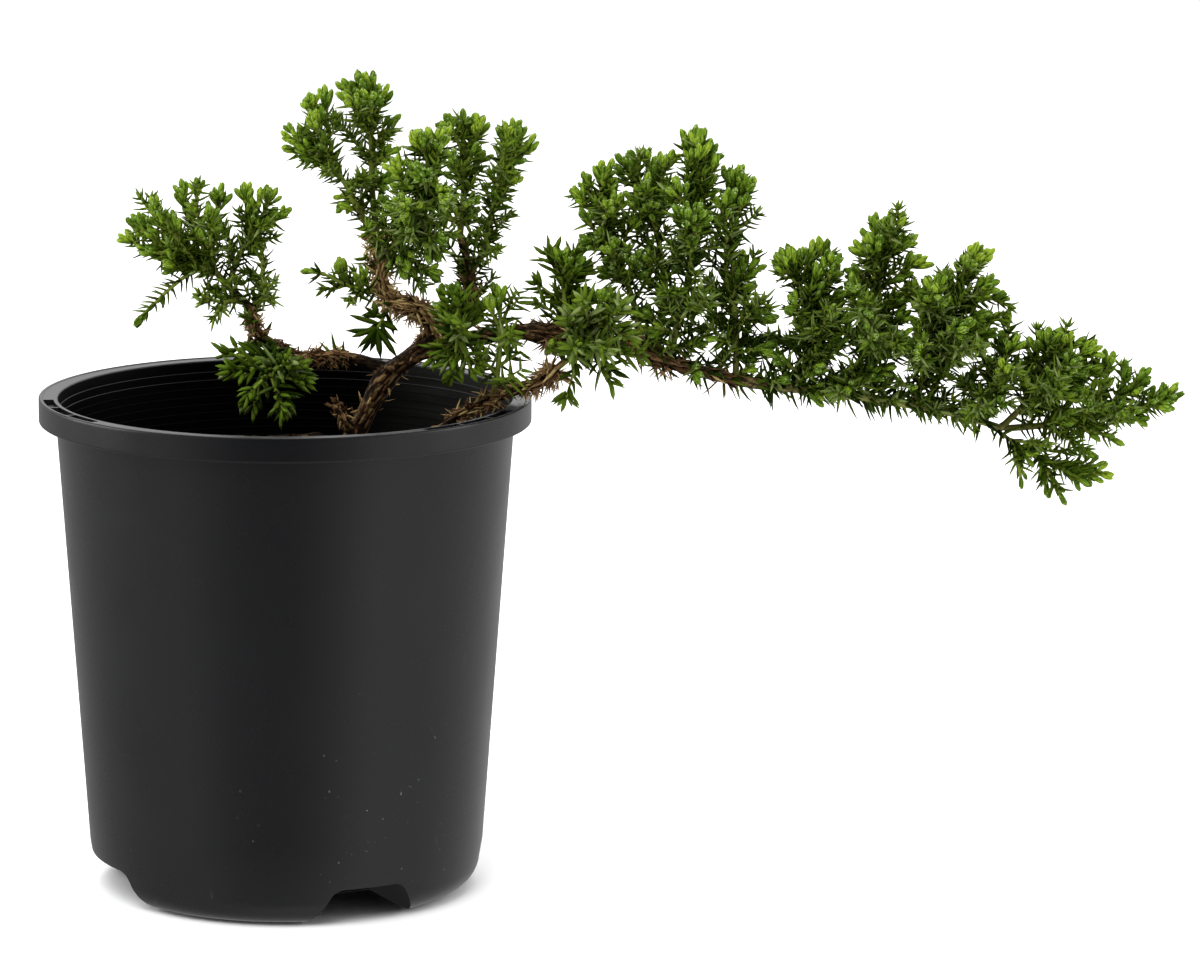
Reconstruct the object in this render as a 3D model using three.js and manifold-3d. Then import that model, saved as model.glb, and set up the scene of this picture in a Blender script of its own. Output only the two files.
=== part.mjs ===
// A young creeping juniper with awl-shaped needles in a black one-gallon nursery pot.
// Millimetres, +Z up. The origin is the middle of the pot's flat underside, the long bough
// runs along +X, and -Y is the side from which the plant is usually seen.

import * as THREE from 'three';
import { mergeVertices } from 'three/addons/utils/BufferGeometryUtils.js';
import Module from 'manifold-3d';

const wasm = await Module();
wasm.setup();
const { Manifold, Mesh: SolidMesh } = wasm;

const clearance = 0.3; // between a piece and the one that carries it

// The pot: one thin wall, a hanging band round its mouth, and four drain notches at its foot.
const pot = {
  height: 167,
  rimRadius: 82.5,
  bandHeight: 8.2,
  bandWall: 1.6,
  webTop: 165.6, // the flat web between the wall and the band lies below the lip
  webUnder: 163.8,
  wall: 1.3,
  topRadius: 77.3, // outside of the wall, at the web
  footRadius: 65.5, // outside of the wall, at the floor
  edgeRound: 9.5,
  floor: 2.4,
  sides: 48,
};

const slots = { centres: [80, 200, 320], width: 45, cells: 2, rib: 1 }; // degrees and millimetres
const notches = {
  centres: [28, 118, 208, 298],
  height: 12.3,
  topHalf: 11,
  bottomHalf: 20,
  corner: 4,
  depth: 40, // how far each notch runs in from the wall
  wall: 1.6,
  drainRadius: 4,
};

const soil = { level: 140, sides: 24 };

// The limbs: points on the middle line, then the radius at either end.
// A knob is a swelling: where it sits from 0 to 1, how much wider, and how long it is.
const limbs = {
  trunk: {
    line: [[14, 0, 136], [16, 0, 140.5], [20, 0, 147.5], [26.5, 0, 160],
      [33.5, 0, 173], [42, 2, 180], [51, 4, 185.5]],
    from: 4.6, to: 3.3, sides: 8,
    knobs: [[0.08, 4, 0.1], [0.66, 1, 0.07], [0.97, 1.4, 0.08]],
  },
  bough_left: {
    line: [[35, 0.5, 176], [23, 3, 179], [13, 4, 179.5], [4.5, 3, 179.5],
      [-3.5, 2, 183.5], [-10, 1, 188], [-12, 1, 196], [-20, 0, 204.5]],
    from: 2.5, to: 1.3,
  },
  bough_top_left: {
    line: [[51, 3.5, 186], [48, 2, 193], [42.5, 2, 197], [34.5, 3, 199], [31, 5, 209.5], [30, 6, 222]],
    from: 3, to: 1.4,
  },
  bough_centre: {
    line: [[51.5, 6, 186.5], [57.5, 9, 191.5], [61.5, 10, 197.5], [61.5, 8, 208], [58, 4, 220.5]],
    from: 2.2, to: 1.2,
  },
  bough_long: {
    line: [[52, 3, 185], [63.5, 2, 186.5], [76.5, 1, 188.5], [87, 0, 188.5],
      [102, 0, 186], [115, 0, 185], [125, 0, 180]],
    from: 3, to: 2.4,
    knobs: [[0.47, 1.1, 0.06]],
  },
  bough_outer: {
    line: [[125, 0, 180], [132.5, 0, 178], [155, 0, 172.5],
      [185.5, 0, 169], [219.5, 0, 163.5], [241, 0, 157.5]],
    from: 2.5, to: 1.1,
  },
  bough_low: {
    line: [[19, -2, 149], [32, -8, 149.5], [48.5, -10, 156], [65, -11, 166],
      [76.5, -11, 170], [85.5, -10, 174], [91, -8, 178]],
    from: 1.4, to: 1,
    knobs: [[0.98, 1.2, 0.06]],
  },
};

// The knotty dead stub beside the trunk's foot.
const stub = {
  line: [[24, -1, 154], [19.5, -3, 159], [18.5, -4, 163.5], [15.5, -4, 165.5]],
  from: 3.4, to: 2.2, sides: 6,
};

// The masses of foliage. A mass has a stem, which starts on its bough, and twigs.
// A twig says how far along the stem it leaves, from 0 to 1, and where its tip is.
const masses = {
  foliage_left_outer: {
    on: 'bough_left',
    stem: [[-21, -1, 205.5], [-24, -1, 209], [-30, -1, 209]],
    twigs: [[1, -50, -5, 191], [1, -56, 5, 220], [0.9, -52, 10, 226], [0.9, -44, -10, 235],
      [0.6, -35, 4, 239], [0.6, -29, -8, 241], [0.5, -21, 2, 238], [0.45, -24, -16, 233]],
  },
  foliage_left_inner: {
    on: 'bough_left',
    stem: [[-18.5, 2, 204], [-16.5, 3, 212], [-13.5, 3, 217]],
    twigs: [[1, -14, 4, 238], [1, -8, -2, 237], [1, -3, 6, 236], [1, 2, 1, 230],
      [0.6, -5, -8, 226], [0.4, -21, 12, 222]],
  },
  foliage_left_shoot: {
    on: 'bough_left',
    stem: [[-10, 1, 194], [-8, 0, 202.5], [-7.5, -2, 209.5]],
    twigs: [[1, -8, -3, 217], [0.3, -4, -10, 201], [0.6, -12, 8, 207]],
  },
  foliage_left_tuft: {
    on: 'bough_left',
    stem: [[-15.5, -3, 198.5], [-20, -6, 199]],
    twigs: [[1, -28, -8, 202], [1, -23, -12, 195], [0.6, -26, 2, 203]],
  },
  foliage_pot_clump: {
    on: 'bough_left',
    stem: [[-3, -2, 182], [-3.5, -16, 179.5], [-4, -24, 178]],
    twigs: [[0.3, -20, -6, 182], [0.5, -17, -18, 178], [1, -11, -32, 172], [1, 1, -34, 168],
      [1, 8, -30, 177], [0.8, 3, -34, 184], [0.4, -13, 8, 182]],
  },
  foliage_sprig: {
    on: 'bough_top_left',
    stem: [[34, 0, 197], [32, -4, 192.5], [30.5, -6, 190]],
    twigs: [[1, 20, -8, 190], [0.6, 21, -4, 195], [1, 24, -12, 185], [1, 29, -2, 182], [0.8, 38, -10, 181]],
  },
  foliage_left_spray: {
    on: 'bough_top_left',
    stem: [[32, 2, 200.5], [26, 0, 202.5], [19, -3, 205.5], [13.5, -4, 208.5]],
    twigs: [[1, 6, -5, 210], [0.5, 18, -2, 214], [0.3, 22, -12, 201], [0.7, 12, 2, 202]],
  },
  foliage_top: {
    on: 'bough_top_left',
    stem: [[30, 6, 223], [28.5, 6, 237.5], [28.5, 5, 249], [27.5, 5, 258.5]],
    twigs: [[0.9, 19, 4, 273], [1, 24, 2, 276], [1, 29, 8, 275], [1, 34, 6, 271], [0.8, 20, -6, 269],
      [0.7, 38, 6, 261], [0.6, 16, 10, 259], [0.35, 23, -6, 239], [0.9, 30, -8, 270]],
  },
  foliage_top_left: {
    on: 'bough_top_left',
    stem: [[29, 3, 220], [24.5, 0, 229.5], [20.5, -1, 238], [14, -2, 246.5]],
    twigs: [[1, 8, -2, 269], [0.9, 13, 3, 271], [1, 9, -10, 264], [0.9, -1, -3, 256],
      [0.9, -1, 4, 250], [0.5, 17, 6, 230]],
  },
  foliage_centre_front: {
    on: 'bough_top_left',
    stem: [[32.5, 0, 213.5], [40, -12, 223], [47.5, -22, 234.5], [49, -24, 246.5]],
    twigs: [[1, 43, -28, 260], [1, 48, -20, 260], [1, 54, -28, 261], [0.8, 36, -36, 249],
      [0.8, 47, -44, 248], [0.5, 34, -26, 235], [0.6, 40, -44, 238], [0.3, 32, -12, 227],
      [0.4, 42, -36, 228], [0.7, 56, -40, 240], [0.4, 55, -34, 225], [0.5, 52, -22, 216]],
  },
  foliage_centre_top: {
    on: 'bough_centre',
    stem: [[58, 3, 221.5], [59, 5, 232.5], [59.5, 5, 246]],
    twigs: [[1, 53, 0, 262], [1, 59, 5, 263], [0.9, 63, 11, 261], [1, 66, 4, 261], [0.6, 54, -8, 251],
      [0.6, 66, 14, 248], [0.3, 51, 10, 232]],
  },
  foliage_centre_right: {
    on: 'bough_centre',
    stem: [[62.5, 6, 207], [66, 7, 216], [68.5, 8, 228.5], [71.5, 8, 242.5]],
    twigs: [[1, 73, 4, 259], [1, 78, 9, 259], [0.9, 83, 12, 254], [0.8, 73, -6, 252], [0.6, 77, 2, 243],
      [0.4, 74, 14, 226], [0.2, 71, -8, 218]],
  },
  foliage_centre_low: {
    on: 'trunk',
    stem: [[52.5, -1, 188], [56, -10, 188.5], [58, -16, 189.5]],
    twigs: [[0.6, 53, -14, 202], [1, 59, -20, 204], [1, 65, -14, 199], [0.8, 53, -18, 184], [1, 56, -22, 178],
      [1, 63, -24, 179], [1, 65, -12, 184], [1, 60, -32, 196]],
  },
  foliage_upright: {
    on: 'bough_low',
    stem: [[69.5, -12, 168.5], [71, -13, 176.5], [72, -13, 187.5], [72, -13, 195.5]],
    twigs: [[1, 71, -14, 207], [0.9, 77, -9, 204], [0.9, 67, -18, 203], [0.4, 63, -18, 185],
      [0.4, 79, -10, 184], [0.2, 77, -20, 177], [0.7, 76, -24, 193]],
  },
  foliage_mid_left: {
    on: 'bough_long',
    stem: [[93, 0, 189], [93.5, 0, 196.5], [92.5, -1, 206]],
    twigs: [[1, 87, 2, 215], [1, 94, -2, 218], [0.6, 84, 3, 205], [0.3, 84, -4, 200],
      [0.7, 98, 8, 208], [0.3, 98, 10, 197]],
  },
  foliage_mid_front: {
    on: 'bough_low',
    stem: [[92.5, -9, 179.5], [98.5, -14, 185.5], [104, -20, 194.5]],
    twigs: [[0.9, 106, -28, 208], [0.7, 100, -34, 205], [0.5, 95, -30, 199], [1, 112, -30, 202],
      [1, 114, -30, 193], [0.7, 107, -38, 189], [0.5, 94, -14, 169], [0.4, 119, -16, 185],
      [0.6, 109, -18, 175], [0.3, 97, -34, 190]],
  },
  foliage_middle_left: {
    on: 'bough_long',
    stem: [[120.5, 2, 184.5], [116, 4, 199.5], [109.5, 5, 216], [103.5, 4, 228]],
    twigs: [[1, 95, 2, 237], [1, 99, 8, 242], [0.7, 98, -6, 221], [0.6, 107, -14, 220], [0.4, 116, -14, 217],
      [0.9, 109, -10, 235], [0.5, 104, 12, 209], [1, 105, 14, 245]],
  },
  foliage_middle_top: {
    on: 'bough_long',
    stem: [[124, 4, 181], [126.5, 9, 199], [125, 12, 215.5], [121, 10, 230.5]],
    twigs: [[1, 110, 8, 248], [1, 115, 2, 250], [1, 121, 10, 250], [1, 125, 16, 248], [0.9, 129, 4, 250],
      [0.8, 119, -8, 241], [0.5, 135, 20, 221], [0.4, 118, 20, 210]],
  },
  foliage_middle_right: {
    on: 'bough_outer',
    stem: [[128, -3, 180.5], [132.5, -6, 198.5], [135, -8, 216.5], [135.5, -5, 234.5]],
    twigs: [[1, 135, 2, 257], [1, 138, -3, 258], [1, 142, 4, 253], [1, 144, -2, 249],
      [0.8, 129, -12, 243], [0.7, 132, -24, 235], [0.6, 138, -22, 236], [0.3, 140, -22, 204],
      [0.3, 126, -18, 206]],
  },
  foliage_right_middle: {
    on: 'bough_outer',
    stem: [[151, 0, 174.5], [150.5, 0, 193.5], [147, 0, 210.5], [150, 0, 230.5]],
    twigs: [[1, 148, 5, 244], [1, 151, -2, 246], [1, 155, -4, 242], [0.9, 146, -14, 238],
      [0.5, 153, 8, 216], [0.5, 158, -2, 215], [0.3, 159, -12, 202], [0.4, 142, 12, 204],
      [0.2, 141, -12, 189], [0.2, 160, 10, 184]],
  },
  foliage_right_1: {
    on: 'bough_outer',
    stem: [[170.5, 0, 171], [174.5, -1, 182], [175, -2, 194], [172, -2, 204]],
    twigs: [[1, 163, -4, 216], [1, 169, 2, 218], [0.8, 176, 6, 220], [0.8, 181, 0, 221], [0.7, 185, -6, 217],
      [0.7, 167, -14, 200], [0.3, 164, 12, 186], [0.4, 183, -18, 202], [0.3, 185, 14, 183]],
  },
  foliage_right_2: {
    on: 'bough_outer',
    stem: [[189, 0, 168.5], [193.5, 2, 185], [197, 3, 200.5], [200.5, 3, 215.5]],
    twigs: [[0.8, 190, 5, 220], [0.9, 194, -4, 224], [1, 197, 8, 229], [1, 202, 2, 231], [1, 206, -3, 231],
      [1, 211, 5, 222], [0.8, 214, 2, 215], [0.6, 188, -18, 209], [0.5, 193, -24, 200], [0.3, 196, -28, 193],
      [0.3, 204, -28, 190], [0.1, 185, -18, 172], [0.3, 200, 22, 182]],
  },
  foliage_right_3: {
    on: 'bough_outer',
    stem: [[211, 0, 165], [215.5, 0, 179], [220.5, 1, 194], [226, 1, 207.5]],
    twigs: [[0.5, 211, -20, 207], [0.6, 215, -26, 210], [0.7, 214, 6, 208], [0.9, 220, 2, 211],
      [1, 227, -3, 217], [1, 231, 3, 220], [1, 235, 8, 217], [0.9, 238, -3, 208], [0.8, 242, 3, 201],
      [0.5, 226, -24, 195], [0.4, 231, -26, 189], [0.3, 209, -28, 188], [0.3, 224, 24, 180]],
  },
  foliage_right_4: {
    on: 'bough_outer',
    stem: [[230, 0, 161], [236, -1, 170], [240.5, -2, 181]],
    twigs: [[1, 242, 3, 197], [1, 245, -4, 190], [1, 240, 10, 189], [0.6, 241, -20, 182], [0.6, 235, 14, 178],
      [0.2, 231, -18, 167], [0.3, 239, -20, 171], [0.4, 226, 16, 170]],
  },
  foliage_right_5: {
    on: 'bough_outer',
    stem: [[240, 3, 158.5], [249.5, 2, 167.5], [255.5, 1, 180]],
    twigs: [[0.8, 249, 4, 188], [1, 255, -1, 192], [1, 260, 7, 191], [1, 263, -3, 191], [0.9, 268, 4, 188],
      [0.8, 273, -2, 186], [0.6, 263, -18, 184], [0.4, 257, -22, 175], [0.5, 254, 20, 176],
      [0.6, 270, 12, 173]],
  },
  foliage_tip: {
    on: 'bough_outer',
    stem: [[242.5, 0, 158], [256.5, 0, 159], [275, 0, 162], [289.5, 0, 165.5]],
    twigs: [[1, 301, 0, 170], [1, 296, 5, 171], [1, 297, -6, 168], [0.8, 290, 3, 178], [0.7, 282, 5, 180],
      [0.6, 277, 0, 184], [0.5, 281, -4, 153], [0.35, 273, 3, 147], [0.5, 268, -16, 170],
      [0.7, 281, -14, 166], [0.3, 264, 14, 153]],
  },
  foliage_tip_low: {
    on: 'bough_outer',
    stem: [[236, -1, 159], [245, -1, 152.5], [254, -1, 148], [262, -1, 144]],
    twigs: [[1, 278, 0, 142], [1, 273, 5, 144], [0.9, 270, -5, 139], [0.7, 262, -2, 132], [0.6, 257, 6, 133],
      [0.3, 247, -5, 138], [0.5, 267, 8, 149], [0.3, 255, -10, 154]],
  },
};

// How every stem, twig and needle is made.
const growth = {
  stemFrom: 1.2, stemTo: 0.9, stemSteps: 6,
  twigRoot: 0.7, twigBody: 1.5, twigSteps: 4,
  stagger: 0.07,
  lean: 0.2, // how far a twig follows its stem before it turns to its tip
  needleLength: 6.5, needleThick: 1, needleSpread: 0.85, // millimetres and radians
  fine: 0.08, // detail smaller than this is left out of a mass
  seed: 20261,
};

const finishes = {
  pot: { color: 0x1c1d20, roughness: 0.42, metalness: 0 },
  soil: { color: 0x33261d, roughness: 1, metalness: 0 },
  bark: { color: 0x5a4030, roughness: 0.9, metalness: 0 },
  youngBark: { color: 0x67733a, roughness: 0.8, metalness: 0 },
  needles: { color: 0x3f6b2c, roughness: 0.6, metalness: 0 },
};

const part = new THREE.Group();

function addPiece(name, geometry, finish) {
  const piece = new THREE.Mesh(geometry, new THREE.MeshStandardMaterial(finishes[finish]));
  piece.name = name;
  part.add(piece);
}

// Closed geometry to solid, and back.
function solid(geometry) {
  const bare = new THREE.BufferGeometry();
  bare.setAttribute('position', geometry.getAttribute('position').clone());
  if (geometry.index) bare.setIndex(geometry.index.clone());
  const welded = mergeVertices(bare, 1e-4);
  return new Manifold(new SolidMesh({
    numProp: 3,
    vertProperties: new Float32Array(welded.getAttribute('position').array),
    triVerts: new Uint32Array(welded.index.array),
  }));
}

function geometryOf(body) {
  const mesh = body.getMesh();
  const geometry = new THREE.BufferGeometry();
  geometry.setAttribute('position', new THREE.BufferAttribute(mesh.vertProperties, 3));
  geometry.setIndex(new THREE.BufferAttribute(mesh.triVerts, 1));
  geometry.computeVertexNormals();
  return geometry;
}

function largestBody(body) {
  return body.decompose().reduce((a, b) => (a.volume() > b.volume() ? a : b));
}

// A closed profile of [radius, height] pairs turned round Z.
function turned(profile, sides) {
  const points = profile.map(([radius, height]) => new THREE.Vector2(radius, height));
  return new THREE.LatheGeometry(points, sides).rotateX(Math.PI / 2);
}

const degrees = Math.PI / 180;

// An outline drawn in the plane across a spoke of the pot, pushed along the spoke.
function spokeBlock(outline, fromRadius, toRadius, angle) {
  const depth = toRadius - fromRadius;
  const block = new THREE.ExtrudeGeometry(outline, { depth, bevelEnabled: false, curveSegments: 2 });
  return block.rotateX(Math.PI / 2).translate(0, toRadius, 0).rotateZ((angle - 90) * degrees);
}

// One drain notch, seen from outside, or the same with its wall round it.
function notchOutline(grow) {
  const top = notches.height + grow;
  const half = notches.topHalf + grow * 0.7;
  const foot = notches.bottomHalf + grow;
  const corner = notches.corner;
  const outline = new THREE.Shape();
  outline.moveTo(-foot, grow > 0 ? pot.floor * 0.5 : -1);
  outline.lineTo(foot, grow > 0 ? pot.floor * 0.5 : -1);
  outline.lineTo(half + corner * 0.7, top - corner);
  outline.quadraticCurveTo(half, top, half - corner, top);
  outline.lineTo(corner - half, top);
  outline.quadraticCurveTo(-half, top, -half - corner * 0.7, top - corner);
  outline.closePath();
  return outline;
}

function wallRadius(height) {
  return pot.footRadius + (pot.topRadius - pot.footRadius) * height / pot.webTop;
}

// The rounded corner between wall and floor, inside the pot, from the wall down to the floor.
function footCorner(gap, floor) {
  const round = pot.edgeRound - pot.wall;
  return [[wallRadius(floor + round) - gap, floor + round],
    [pot.footRadius - gap - round * 0.3, floor + round * 0.3], [pot.footRadius - pot.edgeRound, floor]];
}

function notchBlocks(grow, inward) {
  const from = pot.footRadius - notches.depth - inward;
  const to = pot.footRadius + pot.edgeRound;
  return notches.centres.map((angle) => solid(spokeBlock(notchOutline(grow), from, to, angle)));
}

function potSolid() {
  const { height, rimRadius, bandHeight, bandWall, webTop, webUnder, wall, topRadius, footRadius } = pot;
  const { edgeRound, floor, sides } = pot;
  const bandFoot = height - bandHeight;
  const shell = solid(turned([
    [0, 0], [footRadius - edgeRound, 0], [footRadius - edgeRound * 0.6, edgeRound * 0.08],
    [footRadius - edgeRound * 0.28, edgeRound * 0.28], [footRadius - edgeRound * 0.06, edgeRound * 0.62],
    [wallRadius(edgeRound), edgeRound], [wallRadius(webUnder), webUnder],
    [rimRadius - bandWall, webUnder], [rimRadius - bandWall, bandFoot], [rimRadius, bandFoot],
    [rimRadius, height - 0.8], [rimRadius - 0.7, height],
    [rimRadius - bandWall, height], [rimRadius - bandWall - 0.3, webTop], [topRadius - wall + 0.4, webTop],
    [topRadius - wall, webTop - 0.5], ...footCorner(wall, floor), [0, floor],
  ], sides));
  const within = footRadius - wall * 0.5;
  const inside = solid(turned([[0, 0], [footRadius - edgeRound, 0],
    [footRadius - edgeRound * 0.35, edgeRound * 0.35], [within, edgeRound],
    [within, notches.height * 2], [0, notches.height * 2]], sides));
  const pockets = Manifold.union(notchBlocks(notches.wall, notches.wall)).intersect(inside);
  const holes = notches.centres.map((angle) => {
    const reach = footRadius - notches.depth * 0.5;
    const drill = new THREE.CylinderGeometry(notches.drainRadius, notches.drainRadius, 8, 12);
    return solid(drill.rotateX(Math.PI / 2).translate(reach, 0, notches.height + 1).rotateZ(angle * degrees));
  });
  return shell.add(pockets)
    .subtract(Manifold.union([...notchBlocks(0, 0), ...holes, ...webCells()]));
}

// The open cells in the web round the mouth, with thin ribs between them.
function webCells() {
  const inner = pot.topRadius + 0.3;
  const outer = pot.rimRadius - pot.bandWall - 0.5;
  const rib = slots.rib / inner;
  const cell = slots.width * degrees / slots.cells;
  return slots.centres.flatMap((centre) => Array.from({ length: slots.cells }, (unused, i) => {
    const from = centre * degrees + (i - slots.cells / 2) * cell + rib / 2;
    const to = from + cell - rib;
    const outline = new THREE.Shape();
    outline.absarc(0, 0, outer, from, to, false);
    outline.absarc(0, 0, inner, to, from, true);
    outline.closePath();
    const depth = pot.webTop - pot.webUnder + 2;
    const block = new THREE.ExtrudeGeometry(outline, { depth, bevelEnabled: false, curveSegments: 3 });
    return solid(block.translate(0, 0, pot.webUnder - 1));
  }));
}

// The soil fills the pot to its level and keeps clear of the wall, the floor and the pockets.
function soilSolid() {
  const gap = pot.wall + clearance + 0.2;
  const bottom = pot.floor + clearance;
  const fill = solid(turned([
    [0, bottom], ...footCorner(gap, bottom).reverse(),
    [wallRadius(soil.level - 2) - gap, soil.level - 2], [wallRadius(soil.level) - gap - 3, soil.level],
    [0, soil.level],
  ], soil.sides));
  const clear = notches.wall + clearance;
  const pockets = notches.centres.map((angle) => {
    const from = pot.footRadius - notches.depth - clear;
    return solid(spokeBlock(notchOutline(clear), from, pot.footRadius + 5, angle));
  });
  return largestBody(fill.subtract(Manifold.union(pockets)));
}

function point([x, y, z]) {
  return new THREE.Vector3(x, y, z);
}

function curveThrough(points) {
  return new THREE.CatmullRomCurve3(points, false, 'catmullrom', 0.5);
}

// A turned profile bent along a line: radii holds the radius at evenly spaced places on the line.
// A radius of 0 at the end makes a point. needleOf may give a vertex another place, for a needle.
function tube(line, radii, sides, needleOf = () => null) {
  const steps = radii.length - 1;
  const profile = [new THREE.Vector2(0, 0)];
  radii.forEach((radius, i) => profile.push(new THREE.Vector2(radius, i / steps)));
  if (radii[steps] > 0) profile.push(new THREE.Vector2(0, 1));
  const geometry = new THREE.LatheGeometry(profile, sides);
  const frames = line.computeFrenetFrames(steps, false);
  const position = geometry.getAttribute('position');
  for (let i = 0; i < position.count; i += 1) {
    const step = Math.round(position.getY(i) * steps);
    const middle = line.getPoint(step / steps);
    const across = frames.normals[step].clone().multiplyScalar(position.getX(i))
      .addScaledVector(frames.binormals[step], -position.getZ(i));
    const side = Math.floor(i / profile.length) % sides;
    const onAxis = across.length() < 1e-6;
    const drawn = onAxis ? null : needleOf(step, side, middle, frames.tangents[step], across);
    const place = drawn || middle.add(across);
    position.setXYZ(i, place.x, place.y, place.z);
  }
  return geometry;
}

// Where every limb, stem, twig and needle lies, so that a later one can keep clear of it.
const taken = [];

function claim(owner, line, radii) {
  const steps = radii.length - 1;
  for (let i = 0; i < steps; i += 1) {
    const from = line.getPoint(i / steps);
    const to = line.getPoint((i + 1) / steps);
    taken.push({ owner, line, from, to, radius: Math.max(radii[i], radii[i + 1]) });
  }
}

function gapBetween(a, b, c, d) {
  const u = b.clone().sub(a);
  const v = d.clone().sub(c);
  const w = a.clone().sub(c);
  const uu = u.dot(u);
  const uv = u.dot(v);
  const vv = v.dot(v);
  const uw = u.dot(w);
  const vw = v.dot(w);
  const cross = uu * vv - uv * uv;
  const clamp = (value) => Math.min(Math.max(value, 0), 1);
  let s = cross > 1e-9 ? clamp((uv * vw - vv * uw) / cross) : 0;
  const t = clamp((uv * s + vw) / vv);
  s = clamp((uv * t - uw) / uu);
  return w.addScaledVector(u, s).addScaledVector(v, -t).length();
}

function insidePot(place, radius) {
  const reach = Math.hypot(place.x, place.y);
  if (reach - radius > pot.rimRadius + 1) return false;
  const byWall = place.z - radius < pot.height + 1 && reach + radius > wallRadius(soil.level) - pot.wall - 1;
  return byWall || place.z - radius < soil.level + 1;
}

function isClear(owner, line, from, to, radius) {
  const hit = taken.some((other) => {
    const room = radius + other.radius + (other.owner === owner ? 0 : clearance);
    return other.line !== line && gapBetween(from, to, other.from, other.to) < room;
  });
  return !hit && !insidePot(from, radius) && !insidePot(to, radius);
}

function limbRadii({ from, to, line, knobs = [] }) {
  const steps = (line.length - 1) * 2;
  return Array.from({ length: steps + 1 }, (unused, i) => {
    const at = i / steps;
    const swelling = knobs.reduce((sum, [where, extra, width]) => sum
      + extra * Math.exp(-(((at - where) / width) ** 2)), 0);
    return from + (to - from) * at + swelling;
  });
}

// The nearest place on a limb's middle line.
function nearestOn(curve, place) {
  const samples = 120;
  const places = Array.from({ length: samples + 1 }, (unused, i) => curve.getPoint(i / samples));
  return places.reduce((a, b) => (a.distanceTo(place) <= b.distanceTo(place) ? a : b));
}

const grown = {}; // each limb's curve and radii

for (const [name, limb] of Object.entries(limbs)) {
  const curve = curveThrough(limb.line.map(point));
  const radii = limbRadii(limb);
  grown[name] = { curve, radii };
  claim(name, curve, radii);
}

// The outlines of what is made so far, with the clearance round it.
const swollen = [];

// The same line, a clearance longer at both ends.
function longerCurve(points) {
  const last = points.length - 1;
  const before = points[0].clone().sub(points[1]).setLength(clearance).add(points[0]);
  const after = points[last].clone().sub(points[last - 1]).setLength(clearance).add(points[last]);
  return curveThrough([before, ...points.slice(1, last), after]);
}

function swell(points, radii, sides) {
  swollen.push(solid(tube(longerCurve(points), radii.map((radius) => radius + clearance), sides)));
}

// A limb is cut back to a small clearance from the limbs before it.
function limbSolid(name) {
  const sides = limbs[name].sides || 6;
  const { curve, radii } = grown[name];
  const body = solid(tube(curve, radii, sides));
  const cut = swollen.length ? largestBody(body.subtract(Manifold.union(swollen))) : body;
  swell(curve.points, radii, sides);
  return cut;
}

// The trunk stands on the soil on a flat cut, with the dead stub fused to its foot.
function trunkSolid() {
  const stubCurve = curveThrough(stub.line.map(point));
  const stubRadii = limbRadii(stub);
  claim('trunk', stubCurve, stubRadii);
  const ground = new THREE.BoxGeometry(120, 120, 20).translate(0, 0, soil.level + clearance - 10);
  const trunk = limbSolid('trunk').add(solid(tube(stubCurve, stubRadii, stub.sides)));
  swell(stubCurve.points, stubRadii, stub.sides);
  return trunk.subtract(solid(ground));
}

// Seeded numbers from 0 to 1, the same on every machine.
function dice(seed) {
  let state = seed >>> 0;
  return () => {
    state = (Math.imul(state, 1664525) + 1013904223) >>> 0;
    return state / 4294967296;
  };
}

// A mass's stem starts on the middle line of its bough and runs through its own points.
function stemCurve({ on, stem }) {
  const points = stem.map(point);
  points[0] = nearestOn(grown[on].curve, points[0]);
  return curveThrough(points);
}

// A twig leaves its stem along the stem's own direction and turns to its tip.
// Twigs that leave at the same place are staggered down the stem.
function twigCurve(stem, [at, x, y, z], order) {
  const leave = at * (1 - growth.stagger * (order % 4));
  const root = stem.getPoint(leave);
  const tip = new THREE.Vector3(x, y, z);
  const reach = root.distanceTo(tip);
  const bend = root.clone().addScaledVector(stem.getTangent(leave), reach * growth.lean)
    .lerp(root.clone().lerp(tip, 0.5), 0.4);
  return new THREE.QuadraticBezierCurve3(root, bend, tip);
}

function stemRadii() {
  const { stemFrom, stemTo, stemSteps } = growth;
  return Array.from({ length: stemSteps + 1 }, (unused, i) => stemFrom + (stemTo - stemFrom) * i / stemSteps);
}

// A twig is a slim core, widest near its tip where the young needles crowd together.
function twigRadii() {
  const { twigRoot, twigBody, twigSteps } = growth;
  return Array.from({ length: twigSteps + 1 }, (unused, i) => {
    if (i === twigSteps) return 0;
    return twigRoot + (twigBody - twigRoot) * (i / (twigSteps - 1)) ** 0.7;
  });
}

// A three-sided core with a needle drawn out of one side at each step, turning from step to step.
// A needle that would touch another piece is left out.
function needledTube(owner, line, radii, random) {
  const steps = radii.length - 1;
  const firstSide = Math.floor(random() * 3);
  const lengths = radii.map(() => growth.needleLength * (0.8 + 0.4 * random()));
  const tips = {};
  return tube(line, radii, 3, (step, side, middle, ahead, across) => {
    if (step === 0 || step === steps || (firstSide + step * 2) % 3 !== side) return null;
    if (tips[step] === undefined) {
      const reach = across.clone().normalize().multiplyScalar(Math.sin(growth.needleSpread))
        .addScaledVector(ahead, Math.cos(growth.needleSpread));
      const tip = middle.clone().addScaledVector(reach, lengths[step]);
      const foot = middle.clone().lerp(tip, 0.3);
      const free = isClear(owner, line, foot, tip, growth.needleThick);
      if (free) taken.push({ owner, line, from: foot, to: tip, radius: growth.needleThick });
      tips[step] = free ? tip : null;
    }
    return tips[step];
  });
}

// All stems and twigs take their places first, and the needles then fill what is left.
function growMass(name, mass) {
  const stem = stemCurve(mass);
  claim(name, stem, stemRadii());
  const twigs = mass.twigs.map((row, order) => twigCurve(stem, row, order));
  twigs.forEach((twig) => claim(name, twig, twigRadii()));
  return { name, stem, twigs };
}

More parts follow.
